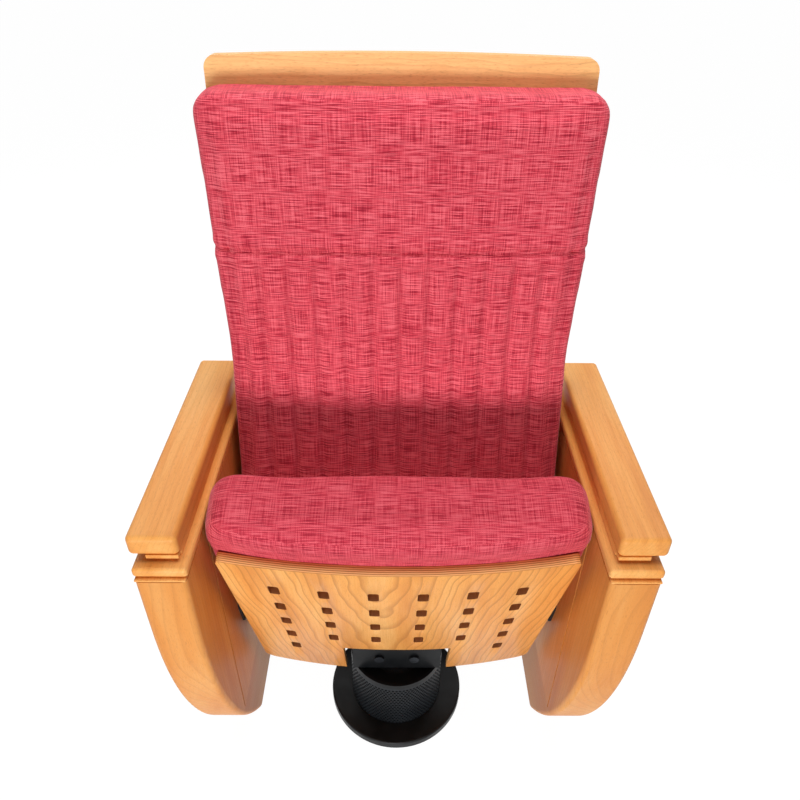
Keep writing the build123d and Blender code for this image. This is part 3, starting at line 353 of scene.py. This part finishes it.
def fabric(name, up, out, fluted=False, painted_shade_all_over=0.0):
    """Slubbed linen weave.  Threads lie with X and with the direction up, on every side.

    A cover that is fluted gets painted shade along its sewn lines.  Painted shade all over darkens
    a cover evenly, for a face that gets less light.
    """
    finish = Finish(name, 0.86, Sheen_Weight=0.14, Sheen_Roughness=0.45,
                    Specular_IOR_Level=0.25)
    x = finish.dot(finish.place, SIDEWAYS)
    v = finish.dot(finish.place, up)
    d = finish.dot(finish.place, out)
    on_side, on_end = [finish.math("GREATER_THAN", finish.math("ABSOLUTE", finish.dot(
        finish.facing, direction)), FACE_TURN) for direction in (SIDEWAYS, up)]
    across = finish.choose(on_side, x, d)
    along = finish.choose(on_end, v, d)

    def threads(value):
        return finish.math("SINE", finish.math("MULTIPLY", value, 2.0 * math.pi / THREAD_PITCH))

    weave = finish.math("MULTIPLY", threads(across), threads(along))
    lying = finish.noise(finish.stretched(
        (across, LYING_ALONG), (along, LYING_ACROSS)), 1.0, 2.0, 0.55)
    standing = finish.noise(finish.stretched(
        (across, STANDING_ACROSS), (along, STANDING_ALONG), layer=4.0), 1.0, 2.0, 0.55)
    slubs = finish.math("ADD", finish.math("MULTIPLY", lying, LYING_SHARE),
                        finish.math("MULTIPLY", standing, 1.0 - LYING_SHARE))
    patches = finish.noise(finish.place, 7.0, 2.0)
    shade = finish.math("ADD", slubs, finish.math("MULTIPLY", finish.math(
        "SUBTRACT", patches, 0.5), 0.05))
    coloured = finish.ramp(shade, (0.40, RASPBERRY_DARK), (0.486, RASPBERRY),
                           (0.57, RASPBERRY_LIGHT))
    # painted shade: darker between the threads, along the sewn lines where fluted, and evenly where
    # asked
    painted_shade = finish.between(weave, -1.0, 0.2, GAP_PAINTED_SHADE + painted_shade_all_over, painted_shade_all_over)
    if fluted:
        painted_shade = finish.math("ADD", painted_shade, flute_painted_shade(finish, x, v))
    finish.colour(finish.mix(painted_shade, coloured, RASPBERRY_DARK))
    height = finish.math("ADD", finish.math("MULTIPLY", weave, 0.20), slubs)
    finish.bump(height, WEAVE_DEPTH, 0.60)
    return finish.material


LINE_HALF_WIDTH = 0.0060
# painted shade in the creases of the sewn lines
LINE_PAINTED_SHADE = 0.30
LINE_FADE = 0.03  # below the seam, over which the sewn lines set in


def flute_painted_shade(finish, x, v):
    """Painted shade along the sewn lines below the seam, where the cover creases."""
    sway = finish.math("MULTIPLY", finish.noise(
        finish.scaled(finish.place, (0.0, 0.0, 9.0)), 1.0), 0.003)
    from_left = finish.math("ADD", finish.math("ADD", x, sway), FLUTE_COUNT * FLUTE_PITCH)
    off_line = finish.math("PINGPONG", from_left, FLUTE_PITCH / 2.0)
    line = finish.between(off_line, 0.0, LINE_HALF_WIDTH, LINE_PAINTED_SHADE, 0.0)
    return finish.math("MULTIPLY", line, finish.between(
        v, SEAM_HEIGHT - LINE_FADE, SEAM_HEIGHT, 1.0, 0.0))


# ------------------------------------------------------------------ metal and plastic
def speckled(name, pale, dark, roughness, grain=900.0, depth=0.00006):
    """Moulded or coated surface: fine texture, faint clouds and uneven gloss."""
    finish = Finish(name, roughness, Specular_IOR_Level=0.22)
    clouds = finish.noise(finish.place, 14.0, 3.0, 0.6)
    finish.colour(finish.ramp(clouds, (0.30, dark), (0.70, pale)))
    fine = finish.noise(finish.place, grain, 2.0, 0.5)
    finish.rough(finish.between(finish.noise(finish.place, 45.0, 3.0, 0.6), 0.3, 0.7,
                                roughness - 0.07, roughness + 0.09))
    finish.bump(fine, depth, 0.6)
    return finish.material


def brushed(name, pale, dark, roughness):
    """Drawn or turned steel with fine lines and dull patches."""
    finish = Finish(name, roughness, Metallic=1.0)
    lines = finish.noise(finish.scaled(finish.place, (40.0, 900.0, 900.0)), 1.0, 2.0)
    dull = finish.noise(finish.place, 30.0, 3.0, 0.6)
    finish.colour(finish.ramp(dull, (0.30, dark), (0.70, pale)))
    finish.rough(finish.between(lines, 0.3, 0.7, roughness - 0.08, roughness + 0.12))
    finish.bump(lines, 0.00005, 0.4)
    return finish.material


def foam(name):
    """Open-cell filter foam."""
    finish = Finish(name, 0.95)
    cells = finish.add("TexVoronoi")
    finish.give(cells.inputs["Vector"], finish.place)
    finish.give(cells.inputs["Scale"], 700.0)
    finish.colour(finish.ramp(cells.outputs[0], (0.0, srgb(4, 4, 5)), (0.8, srgb(22, 23, 25))))
    finish.bump(cells.outputs[0], 0.0006, 0.8)
    return finish.material


PANEL_WOOD = board_wood("panel wood", UPWARD, BACKWARD, share=0.45)
FOOT_WOOD = board_wood("foot wood", BACKWARD, UPWARD, 0.3, 0.010, 0.20, 0.80)
ARM_WOOD = board_wood("arm wood", BACKWARD, SIDEWAYS, 0.6, 0.007, 0.14, 0.04)
PAN_WOOD = pan_wood("pan wood")
BACK_WOOD = back_wood("back wood")
INNER_PLY = board_wood("inner ply", SIDEWAYS, BACKWARD, 0.1, 0.006, 0.5)
PAD_FABRIC = fabric("pad fabric", UPWARD, BACKWARD, fluted=True)
# the cushion's cover is the pad's cloth with painted shade all over, since it faces forward and
# down
CUSHION_FABRIC = fabric("cushion fabric", tuple(ALONG_PAN), tuple(OUT_OF_PAN), painted_shade_all_over=0.24)
NYLON = speckled("nylon", srgb(52, 50, 48), srgb(38, 37, 36), 0.48)
RUBBER = speckled("stop rubber", srgb(30, 30, 31), srgb(20, 20, 21), 0.75, 500.0, 0.0001)
STEEL = brushed("bright steel", srgb(196, 197, 200), srgb(150, 152, 156), 0.30)
BLACK_STEEL = speckled("black steel", srgb(26, 30, 34), srgb(14, 16, 19), 0.44, 1200.0, 0.00005)
DULL_STEEL = brushed("dull steel", srgb(62, 64, 68), srgb(34, 36, 40), 0.45)
HEAD_STEEL = speckled("head steel", srgb(13, 15, 17), srgb(7, 8, 10), 0.44, 1200.0, 0.00005)
COVER = speckled("base cover", srgb(11, 12, 14), srgb(5, 6, 7), 0.40, 1400.0, 0.00004)
FILTER = foam("filter foam")


# ------------------------------------------------------------------ finishes of the solids
FINISHES = {  # the rest is black steel
    "side_panel": PANEL_WOOD, "panel_foot": FOOT_WOOD, "panel_bead": ARM_WOOD,
    "panel_cap": ARM_WOOD, "arm_neck": ARM_WOOD, "armrest": ARM_WOOD,
    "back_shell": BACK_WOOD, "pad_carrier": INNER_PLY, "seat_board": INNER_PLY,
    "seat_pan": PAN_WOOD, "foot_glides": NYLON, "pivot_bush": NYLON,
    "seat_stops": RUBBER, "head_bolts": DULL_STEEL, "beam_bolts": STEEL, "tie_rods": STEEL,
    "pivot_pin": STEEL, "return_spring": STEEL, "column_filter": FILTER,
    "base_cover": COVER, "head_front": HEAD_STEEL, "head_cheek": HEAD_STEEL,
    "column_dish": HEAD_STEEL,
}


def finish_solids():
    """Gives every node its finish.  Left and right nodes share one."""
    for name, obj in frame["nodes"].items():
        plain = name[:-2] if name.endswith(("_l", "_r")) else name
        material = FINISHES.get(plain, BLACK_STEEL)
        if not obj.material_slots:
            obj.data.materials.append(material)
        for slot in obj.material_slots:
            slot.link = "OBJECT"
            slot.material = material


# ------------------------------------------------------------------ mesh helpers
def link(obj):
    bpy.context.scene.collection.objects.link(obj)
    return obj


def made_of(shape, name):
    """An object of the shape, which is used up."""
    mesh = bpy.data.meshes.new(name)
    shape.to_mesh(mesh)
    shape.free()
    return link(bpy.data.objects.new(name, mesh))


def finish_with(piece, material):
    piece.data.materials.clear()
    piece.data.materials.append(material)


def prism(shape, ends):
    """Closes two rings of as many points to a prism."""
    count = len(ends[0])
    shape.faces.new(ends[0])
    shape.faces.new(ends[1][::-1])
    for i in range(count):
        j = (i + 1) % count
        shape.faces.new((ends[0][j], ends[0][i], ends[1][i], ends[1][j]))


def copy_of(node, name):
    """A free copy of a node's mesh in the frame's axes, with its split vertices joined."""
    source = frame["nodes"][node]
    shape = bmesh.new()
    shape.from_mesh(source.data)
    bmesh.ops.transform(shape, matrix=source.matrix_world, verts=shape.verts)
    bmesh.ops.remove_doubles(shape, verts=shape.verts, dist=1e-6)
    return made_of(shape, name)


def apply_modifiers(obj):
    """Keeps the evaluated mesh and drops the modifiers."""
    graph = bpy.context.evaluated_depsgraph_get()
    mesh = bpy.data.meshes.new_from_object(obj.evaluated_get(graph), depsgraph=graph)
    obj.modifiers.clear()
    obj.data = mesh


def read(mesh, what):
    values = np.empty(len(mesh.vertices) * 3, dtype=np.float32)
    mesh.vertices.foreach_get(what, values)
    return values.reshape(-1, 3).astype(float)


def write(mesh, places):
    mesh.vertices.foreach_set("co", places.astype(np.float32).ravel())
    mesh.update()


CLOTH_CELL = 0.006
CLOTH_PRESSURE = 4.0
CLOTH_STIFFNESS = 15.0
CLOTH_FRAMES = 20


def remesh(obj):
    """Even quads for the cloth, with the steps of the voxels smoothed away."""
    step = obj.modifiers.new("remesh", "REMESH")
    step.mode = "VOXEL"
    step.voxel_size = CLOTH_CELL
    apply_modifiers(obj)
    settle = obj.modifiers.new("settle", "SMOOTH")
    settle.factor = 0.5
    settle.iterations = 3
    apply_modifiers(obj)


def inflate(obj, held, least, cap):
    """Blows the closed form up as cloth.  Held points stay; the others move out within limits."""
    start = read(obj.data, "co")
    facing = read(obj.data, "normal")
    group = obj.vertex_groups.new(name="held")
    group.add([int(i) for i in np.flatnonzero(held)], 1.0, "REPLACE")
    cloth = obj.modifiers.new("cloth", "CLOTH")
    cloth.settings.quality = 5
    cloth.settings.use_pressure = True
    cloth.settings.uniform_pressure_force = CLOTH_PRESSURE
    cloth.settings.vertex_group_mass = "held"
    cloth.settings.effector_weights.gravity = 0.0
    cloth.settings.tension_stiffness = CLOTH_STIFFNESS
    cloth.settings.compression_stiffness = CLOTH_STIFFNESS
    cloth.settings.bending_stiffness = 0.6
    cloth.collision_settings.use_collision = False
    scene = bpy.context.scene
    for number in range(1, CLOTH_FRAMES + 1):
        scene.frame_set(number)
    apply_modifiers(obj)
    scene.frame_set(1)
    obj.vertex_groups.clear()
    outward = np.sum((read(obj.data, "co") - start) * facing, axis=1)
    outward = np.where(held, 0.0, np.clip(outward, least, cap))
    write(obj.data, start + facing * outward[:, None])


def smooth_step(value, low, high):
    part = np.clip((value - low) / (high - low), 0.0, 1.0)
    return part * part * (3.0 - 2.0 * part)


def noise_at(places, scales, seed):
    """Smooth noise from -1 to 1 at each place."""
    shift = Vector((seed, seed * 0.7, -seed))
    return np.array([noise.noise(Vector(p) + shift) for p in places * np.array(scales)])


def shade_smooth(obj):
    obj.data.polygons.foreach_set("use_smooth", [True] * len(obj.data.polygons))


def make_padded(node, name, holds, shrink, least, cap, sew):
    """A remeshed copy of the node, drawn in, blown out again, and sewn.

    holds says from the normals which points stay where they are.
    """
    obj = copy_of(node, name)
    remesh(obj)
    facing = read(obj.data, "normal")
    held = holds(facing)
    places = read(obj.data, "co")
    places[~held] -= facing[~held] * shrink
    write(obj.data, places)
    inflate(obj, held, least, cap)
    step = obj.modifiers.new("subdivide", "SUBSURF")
    step.levels = 1
    apply_modifiers(obj)
    sew(obj)
    shade_smooth(obj)
    return obj


# ------------------------------------------------------------------ back pad
PAD_SHRINK = 0.003  # before the cloth swells it out again
PAD_LEAST = 0.0025  # by which the cloth moves out
PAD_SWELL = 0.009  # and at most
SEAM_DEPTH = 0.0055
SEAM_HALF_WIDTH = 0.0030
SEAM_WANDER = 0.0012
SHOULDER_OFF = 0.011  # from the seam to the swell beside it
SHOULDER_HALF_WIDTH = 0.006
SHOULDER_RISE = 0.0014
PUCKER_DEPTH = 0.0011
PUCKER_REACH = 0.013
FLUTE_DEPTH = 0.0022
FLUTE_HALF_WIDTH = 0.0055
SLACK = 0.0009  # uneven height of a pulled cover
FINE_SLACK = 0.0004


def make_pad():
    """The quilted pad of the back: plain above its seam, fluted below it."""
    pad = make_padded("back_pad", "back_pad_cover", lambda facing: facing[:, 1] > 0.45,
                      PAD_SHRINK, PAD_LEAST, PAD_SWELL, sew_pad)
    finish_with(pad, PAD_FABRIC)
    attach(pad, "frame")
    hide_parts("back_pad")


def sew_pad(pad):
    """The seam, its puckers and the flutes, pressed in along the surface."""
    places = read(pad.data, "co")
    facing = read(pad.data, "normal")
    x, z = places[:, 0], places[:, 2]
    to_front = smooth_step(-facing[:, 1], 0.15, 0.6)
    not_behind = 1.0 - smooth_step(facing[:, 1], 0.2, 0.6)
    wander = noise_at(places, (9.0, 0.0, 0.0), 3.0) * SEAM_WANDER
    from_seam = z - SEAM_HEIGHT - wander
    seam = SEAM_DEPTH * np.exp(-(from_seam / SEAM_HALF_WIDTH) ** 2)
    seam *= 0.2 * not_behind + 0.8 * to_front
    beside = (np.abs(from_seam) - SHOULDER_OFF) / SHOULDER_HALF_WIDTH
    shoulders = -SHOULDER_RISE * np.exp(-beside ** 2) * to_front
    puckers = PUCKER_DEPTH * np.exp(-np.abs(from_seam) / PUCKER_REACH) * to_front
    puckers *= noise_at(places, (85.0, 0.0, 9.0), 7.0)
    below = smooth_step(-from_seam, 0.004, LINE_FADE)
    flutes = np.zeros(len(x))
    for number in range(FLUTE_COUNT + 1):
        middle = (number - FLUTE_COUNT / 2.0) * FLUTE_PITCH
        flutes += FLUTE_DEPTH * np.exp(-((x - middle) / FLUTE_HALF_WIDTH) ** 2)
    slack = SLACK * noise_at(places, (14.0, 14.0, 8.0), 11.0)
    fine = FINE_SLACK * noise_at(places, (60.0, 60.0, 35.0), 17.0)
    inward = seam + shoulders + puckers + flutes * below * to_front + (slack + fine) * not_behind
    write(pad.data, places - facing * inward[:, None])


# ------------------------------------------------------------------ seat cushion
CUSHION_SHRINK = 0.003  # these three as for the pad
CUSHION_LEAST = 0.0035
CUSHION_SWELL = 0.010
CUSHION_SIDE_LIMIT = 0.2540  # clear of the side panels
CUSHION_HINGE_LIMIT = 0.2470  # clear of the stop levers
CUSHION_WIDEN = 1.035
CUSHION_LIFT = 0.0010  # of the upper edge
CUSHION_CORNER_LIFT = 0.0065  # more, at its corners
CUSHION_CORNER_THICKER = 0.0060  # there too
CORNER_SPAN = (0.13, 0.235)  # from the middle, over which a corner sets in
LEVERS_CLEAR = (0.065, 0.10)  # above the hinge, over which the limit widens
PLEAT_REACH = 0.045
PLEAT_DEPTH = 0.0032
PLEATS_PER_TURN = 11.0
SOFT_LIMIT = 0.0012  # over which the sides bend to their limit


def make_cushion():
    """The cushion, full and crowned, drawn down to the pan at its edge."""
    cushion = make_padded("seat_cushion", "seat_cushion_cover",
                          lambda facing: facing @ np.array(OUT_OF_PAN) > 0.6,
                          CUSHION_SHRINK, CUSHION_LEAST, CUSHION_SWELL, sew_cushion)
    finish_with(cushion, CUSHION_FABRIC)
    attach(cushion, "seat")
    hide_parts("seat_cushion")


def sew_cushion(cushion):
    """Pleats at the pan's corners and the small unevenness of a pulled cover."""
    places = read(cushion.data, "co")
    facing = read(cushion.data, "normal")
    local = places - np.array(AXIS)
    v = local @ np.array(ALONG_PAN)
    n = local @ np.array(OUT_OF_PAN)
    off_pan = 1.0 - smooth_step(facing @ np.array(OUT_OF_PAN), 0.3, 0.7)
    inward = np.zeros(len(v))
    for side in (-1.0, 1.0):
        dx = places[:, 0] - side * PAN_CORNER
        dv = v - PAN_ABOVE
        dn = n - PAN_BACK
        near = np.exp(-(dx * dx + dv * dv + dn * dn) / (2.0 * (PLEAT_REACH / 2.0) ** 2))
        turn = np.arctan2(dn, dv + np.abs(dx))
        inward += PLEAT_DEPTH * near * np.sin(turn * PLEATS_PER_TURN)
    inward += SLACK * noise_at(places, (13.0, 13.0, 13.0), 5.0)
    inward += FINE_SLACK * noise_at(places, (55.0, 55.0, 55.0), 9.0)
    places -= facing * (inward * off_pan)[:, None]
    write(cushion.data, fill_out(places, v, n))


def fill_out(places, v, n):
    """Widens the cushion to its limits and lifts its upper corners."""
    aside = np.abs(places[:, 0])
    inside = smooth_step(-n, -PAN_FACE, 0.0)
    limit = CUSHION_HINGE_LIMIT + (CUSHION_SIDE_LIMIT - CUSHION_HINGE_LIMIT) * smooth_step(
        v, *LEVERS_CLEAR)
    wider = aside * (1.0 + (CUSHION_WIDEN - 1.0) * (0.4 + 0.6 * inside))
    wider = limit - SOFT_LIMIT * np.logaddexp(0.0, (limit - wider) / SOFT_LIMIT)
    wider = np.maximum(wider, 0.0)
    at_top = smooth_step(v, PAN_ABOVE - 0.07, PAN_ABOVE - 0.01) * inside
    corner = smooth_step(aside, *CORNER_SPAN) * at_top
    lift = CUSHION_LIFT * at_top + CUSHION_CORNER_LIFT * corner
    grown = places + np.array(ALONG_PAN) * lift[:, None]
    grown -= np.array(OUT_OF_PAN) * (CUSHION_CORNER_THICKER * corner)[:, None]
    grown[:, 0] = np.sign(places[:, 0]) * wider
    return grown


# ------------------------------------------------------------------ seat pan and mouldings
CORNER_STEPS = 4
CUTTER_BEHIND, CUTTER_AHEAD = 0.045, 0.010  # of the middle of the pan's face
ARRIS = 0.0006  # by which the pan's edges are broken


def slot_outline():
    """Points round a slot, from its middle: (across, up)."""
    points = []
    for quarter, (side, end) in enumerate(((1, 1), (-1, 1), (-1, -1), (1, -1))):
        for step in range(CORNER_STEPS + 1):
            turn = math.radians(90.0 * (quarter + step / CORNER_STEPS))
            points.append((side * (SLOT_WIDTH / 2.0 - SLOT_CORNER) + SLOT_CORNER * math.cos(turn),
                           end * (SLOT_HEIGHT / 2.0 - SLOT_CORNER) + SLOT_CORNER * math.sin(turn)))
    return points


def slot_places():
    """Middle of every slot: (across, up along the pan)."""
    for column in range(SLOT_COLUMNS):
        outer = column in (0, SLOT_COLUMNS - 1)
        across = (column - (SLOT_COLUMNS - 1) / 2.0) * SLOT_PITCH
        for row in range(SLOT_ROWS + (1 if outer else 0)):
            yield across, SLOT_FIRST - row * SLOT_PITCH


def make_pan():
    """The pan with its slots drawn out to their height."""
    pan = copy_of("seat_pan", "seat_pan_slotted")
    shape = bmesh.new()
    for x, v in slot_places():
        prism(shape, [[shape.verts.new(AXIS + Vector((x + dx, 0.0, 0.0)) + ALONG_PAN * (v + dv)
                                       + OUT_OF_PAN * n) for dx, dv in slot_outline()]
                      for n in (PAN_FACE - CUTTER_BEHIND, PAN_FACE + CUTTER_AHEAD)])
    bmesh.ops.recalc_face_normals(shape, faces=shape.faces)
    cutter = made_of(shape, "slots")
    cut = pan.modifiers.new("slots", "BOOLEAN")
    cut.operation = "DIFFERENCE"
    cut.solver = "EXACT"
    cut.object = cutter
    apply_modifiers(pan)
    bpy.data.objects.remove(cutter)
    round_edges(pan, ARRIS)
    finish_with(pan, PAN_WOOD)
    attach(pan, "seat")
    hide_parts("seat_pan")


def round_edges(obj, width):
    """Breaks the sharp edges, and shades the rest smooth."""
    bevel = obj.modifiers.new("arris", "BEVEL")
    bevel.width = width
    bevel.segments = 2
    bevel.limit_method = "ANGLE"
    bevel.angle_limit = math.radians(40.0)
    bevel.harden_normals = True
    shade_smooth(obj)
    apply_modifiers(obj)


def bar(name, profile, low_x, high_x):
    """A bar of the profile, given as (y, z) points, from one x to another."""
    shape = bmesh.new()
    prism(shape, [[shape.verts.new((x, y, z)) for y, z in profile] for x in (low_x, high_x)])
    bmesh.ops.recalc_face_normals(shape, faces=shape.faces)
    return made_of(shape, name)


BEAD_JOINT = 0.0003  # below the bead
BEAD_GROOVE = 0.0010  # above the bead
BEAD_SET_IN = 0.0006  # from the panel's faces
STEP_HEIGHT = 0.0060  # of the neck's upper part, which reaches the armrest's front
STEP_SET_IN = 0.0012
NECK_WIDTH = 0.040
MOULDING_ARRIS = 0.0007


def make_mouldings(side):
    """The bead under the cap, flush with the panel, and the stepped neck of the armrest."""
    panel_low, panel_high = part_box("side_panel_" + side)
    low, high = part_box("panel_bead_" + side)
    front, rear = panel_low[1] + BEAD_SET_IN, panel_high[1] - BEAD_SET_IN
    bottom, top = low[2] + BEAD_JOINT, high[2] - BEAD_GROOVE
    bead = bar("panel_bead_strip_" + side,
               [(front, bottom), (rear, bottom), (rear, top), (front, top)],
               panel_low[0] + BEAD_SET_IN, panel_high[0] - BEAD_SET_IN)
    low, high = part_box("arm_neck_" + side)
    front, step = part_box("armrest_" + side)[0][1] + STEP_SET_IN, high[2] - STEP_HEIGHT
    near = low[0] if side == "r" else high[0] - NECK_WIDTH
    neck = bar("arm_neck_stepped_" + side,
               [(low[1], low[2]), (high[1], low[2]), (high[1], high[2]), (front, high[2]),
                (front, step), (low[1], step)], near, near + NECK_WIDTH)
    for piece, node in ((bead, "panel_bead_" + side), (neck, "arm_neck_" + side)):
        round_edges(piece, MOULDING_ARRIS)
        finish_with(piece, ARM_WOOD)
        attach(piece, "frame")
        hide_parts(node)


# ------------------------------------------------------------------ perforated sleeve
HOLE_PITCH = 0.0064
HOLE_RADIUS = 0.0024
SHEET_THICK = 0.0015
PLAIN_EDGE = 0.004  # of the sheet, above and below the holes
STAGGERED = 0.866  # pitch of the rows for each hole pitch
EDGE_PARTS = 4  # of the plain edge for each hole, as the cells beside it have


def cell_outline(width, height):
    """Twelve points round a cell, which meet those of the staggered rows beside it."""
    w, h = width / 2.0, height / 2.0
    low = [(-w, -h), (-w / 2, -h), (0.0, -h), (w / 2, -h)]
    right = [(w, -h), (w, 0.0)]
    high = [(w, h), (w / 2, h), (0.0, h), (-w / 2, h)]
    left = [(-w, h), (-w, 0.0)]
    return low + right + high + left


def make_sleeve():
    """Perforated steel sheet rolled round the column, with real staggered holes."""
    low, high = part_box("column_sleeve")
    radius = high[0]
    around = round(2.0 * math.pi * radius / HOLE_PITCH)
    width = 2.0 * math.pi * radius / around
    holed = high[2] - low[2] - 2.0 * PLAIN_EDGE
    rows = int(holed / (HOLE_PITCH * STAGGERED))
    height = holed / rows
    outline = cell_outline(width, height)
    shape = bmesh.new()

    def rolled(s, z):
        angle = s / radius
        return shape.verts.new((radius * math.sin(angle), -radius * math.cos(angle), z))

    for row in range(rows):
        z = low[2] + PLAIN_EDGE + (row + 0.5) * height
        for column in range(around):
            s = (column + 0.5 * (row % 2)) * width
            rim = [rolled(s + ds, z + dz) for ds, dz in outline]
            hole = []
            for ds, dz in outline:
                turn = math.atan2(dz, ds)
                hole.append(rolled(s + HOLE_RADIUS * math.cos(turn),
                                   z + HOLE_RADIUS * math.sin(turn)))
            for i in range(len(outline)):
                j = (i + 1) % len(outline)
                shape.faces.new((rim[i], rim[j], hole[j], hole[i]))
    for start, end in ((low[2], low[2] + PLAIN_EDGE), (high[2] - PLAIN_EDGE, high[2])):
        for part in range(around * EDGE_PARTS):
            a, b = part * width / EDGE_PARTS, (part + 1) * width / EDGE_PARTS
            shape.faces.new((rolled(a, start), rolled(b, start), rolled(b, end), rolled(a, end)))
    bmesh.ops.remove_doubles(shape, verts=shape.verts, dist=1e-5)
    bmesh.ops.recalc_face_normals(shape, faces=shape.faces)
    sleeve = made_of(shape, "column_mesh_sleeve")
    thicken = sleeve.modifiers.new("sheet", "SOLIDIFY")
    thicken.thickness = SHEET_THICK
    thicken.offset = -1.0
    finish_with(sleeve, BLACK_STEEL)
    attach(sleeve, "frame")
    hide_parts("column_sleeve")


# ------------------------------------------------------------------ camera, floor and light
PHOTO_PIXELS = 800.0  # width of the photograph
FOCAL_PIXELS = 682.684
SENSOR = 36.0
CAMERA_PLACE = (-0.0073, -0.7632, 1.2476)
CAMERA_PITCH = 0.6263
CAMERA_YAW = 0.0104
CAMERA_ROLL = 0.0124


def make_camera():
    """The camera that was fitted to the photograph."""
    ahead = Vector((math.sin(CAMERA_YAW) * math.cos(CAMERA_PITCH),
                    math.cos(CAMERA_YAW) * math.cos(CAMERA_PITCH), -math.sin(CAMERA_PITCH)))
    level = Vector((math.cos(CAMERA_YAW), -math.sin(CAMERA_YAW), 0.0))
    upward = level.cross(ahead)
    right = math.cos(CAMERA_ROLL) * level + math.sin(CAMERA_ROLL) * upward
    up = math.cos(CAMERA_ROLL) * upward - math.sin(CAMERA_ROLL) * level
    data = bpy.data.cameras.new("camera")
    data.sensor_width = SENSOR
    data.lens = FOCAL_PIXELS * SENSOR / PHOTO_PIXELS
    data.clip_start = 0.01
    camera = link(bpy.data.objects.new("camera", data))
    turn = Matrix((right, up, -ahead)).transposed().to_4x4()
    camera.matrix_world = Matrix.Translation(CAMERA_PLACE) @ turn
    bpy.context.scene.camera = camera


def seen_directly(tree):
    """1 for rays that show the backdrop: from the camera, in gloss or through glass."""
    path = tree.nodes.new("ShaderNodeLightPath")
    total = path.outputs["Is Camera Ray"]
    for name in ("Is Glossy Ray", "Is Transmission Ray"):
        add = tree.nodes.new("ShaderNodeMath")
        add.operation = "MAXIMUM"
        tree.links.new(total, add.inputs[0])
        tree.links.new(path.outputs[name], add.inputs[1])
        total = add.outputs[0]
    return total


AMBIENT = 0.11
FLOOR_SIZE = 80.0
FLOOR_BOUNCE = 0.28  # albedo by which the floor lights the seat
FLOOR_ALBEDO = 0.85  # albedo by which it is seen
FLOOR_GLOW = 1.085  # white that is mixed into the floor as seen
FLOOR_GLOW_SHARE = 0.90
LAMPS = (  # name, place, point looked at, width, height, watts
    ("front", (-0.30, -2.6, 0.32), (0.0, 0.0, 0.6), 1.4, 0.55, 60.0),
    ("top", (0.1, -0.05, 3.0), (0.0, 0.0, 0.5), 1.5, 1.5, 45.0),
    ("rear left", (-1.4, 1.6, 2.4), (0.0, 0.0, 0.5), 1.4, 1.4, 18.0),
    ("rear right", (1.4, 1.6, 2.4), (0.0, 0.0, 0.5), 1.4, 1.4, 18.0),
)


def by_view(tree, unseen, seen):
    """The first value for rays that light the scene, the second for those that show it."""
    reach = tree.nodes.new("ShaderNodeMapRange")
    tree.links.new(seen_directly(tree), reach.inputs[0])
    reach.inputs[3].default_value = unseen
    reach.inputs[4].default_value = seen
    return reach.outputs[0]


def make_world():
    """Even light all round, in front of a white backdrop."""
    world = bpy.data.worlds.new("studio")
    bpy.context.scene.world = world
    world.use_nodes = True
    tree = world.node_tree
    background = tree.nodes["Background"]
    background.inputs["Color"].default_value = grey(1.0)
    tree.links.new(by_view(tree, AMBIENT, 1.0), background.inputs["Strength"])


def make_floor():
    """A pale floor that keeps a soft shadow."""
    bpy.ops.mesh.primitive_plane_add(size=FLOOR_SIZE, location=(0.0, 0.0, 0.0))
    floor = bpy.context.object
    floor.name = "floor"
    material = bpy.data.materials.new("floor")
    material.use_nodes = True
    tree = material.node_tree
    matt = tree.nodes["Principled BSDF"]
    tree.links.new(by_view(tree, FLOOR_BOUNCE, FLOOR_ALBEDO), matt.inputs["Base Color"])
    matt.inputs["Roughness"].default_value = 0.9
    glow = tree.nodes.new("ShaderNodeEmission")
    glow.inputs["Strength"].default_value = FLOOR_GLOW
    both = tree.nodes.new("ShaderNodeMixShader")
    tree.links.new(by_view(tree, 0.0, FLOOR_GLOW_SHARE), both.inputs[0])
    tree.links.new(matt.outputs[0], both.inputs[1])
    tree.links.new(glow.outputs[0], both.inputs[2])
    tree.links.new(both.outputs[0], tree.nodes["Material Output"].inputs["Surface"])
    floor.data.materials.append(material)


def make_lamp(name, place, target, width, height, watts):
    """A soft lamp that looks at a point."""
    data = bpy.data.lights.new(name, "AREA")
    data.shape = "RECTANGLE"
    data.size = width
    data.size_y = height
    data.energy = watts
    lamp = link(bpy.data.objects.new(name, data))
    lamp.location = place
    lamp.rotation_euler = (Vector(target) - Vector(place)).to_track_quat("-Z", "Y").to_euler()


# ------------------------------------------------------------------ the scene
bpy.context.scene.view_settings.view_transform = "Standard"
finish_solids()
make_pad()
make_cushion()
make_pan()
for side in ("l", "r"):
    make_mouldings(side)
make_sleeve()
make_camera()
make_world()
make_floor()
for lamp in LAMPS:
    make_lamp(*lamp)
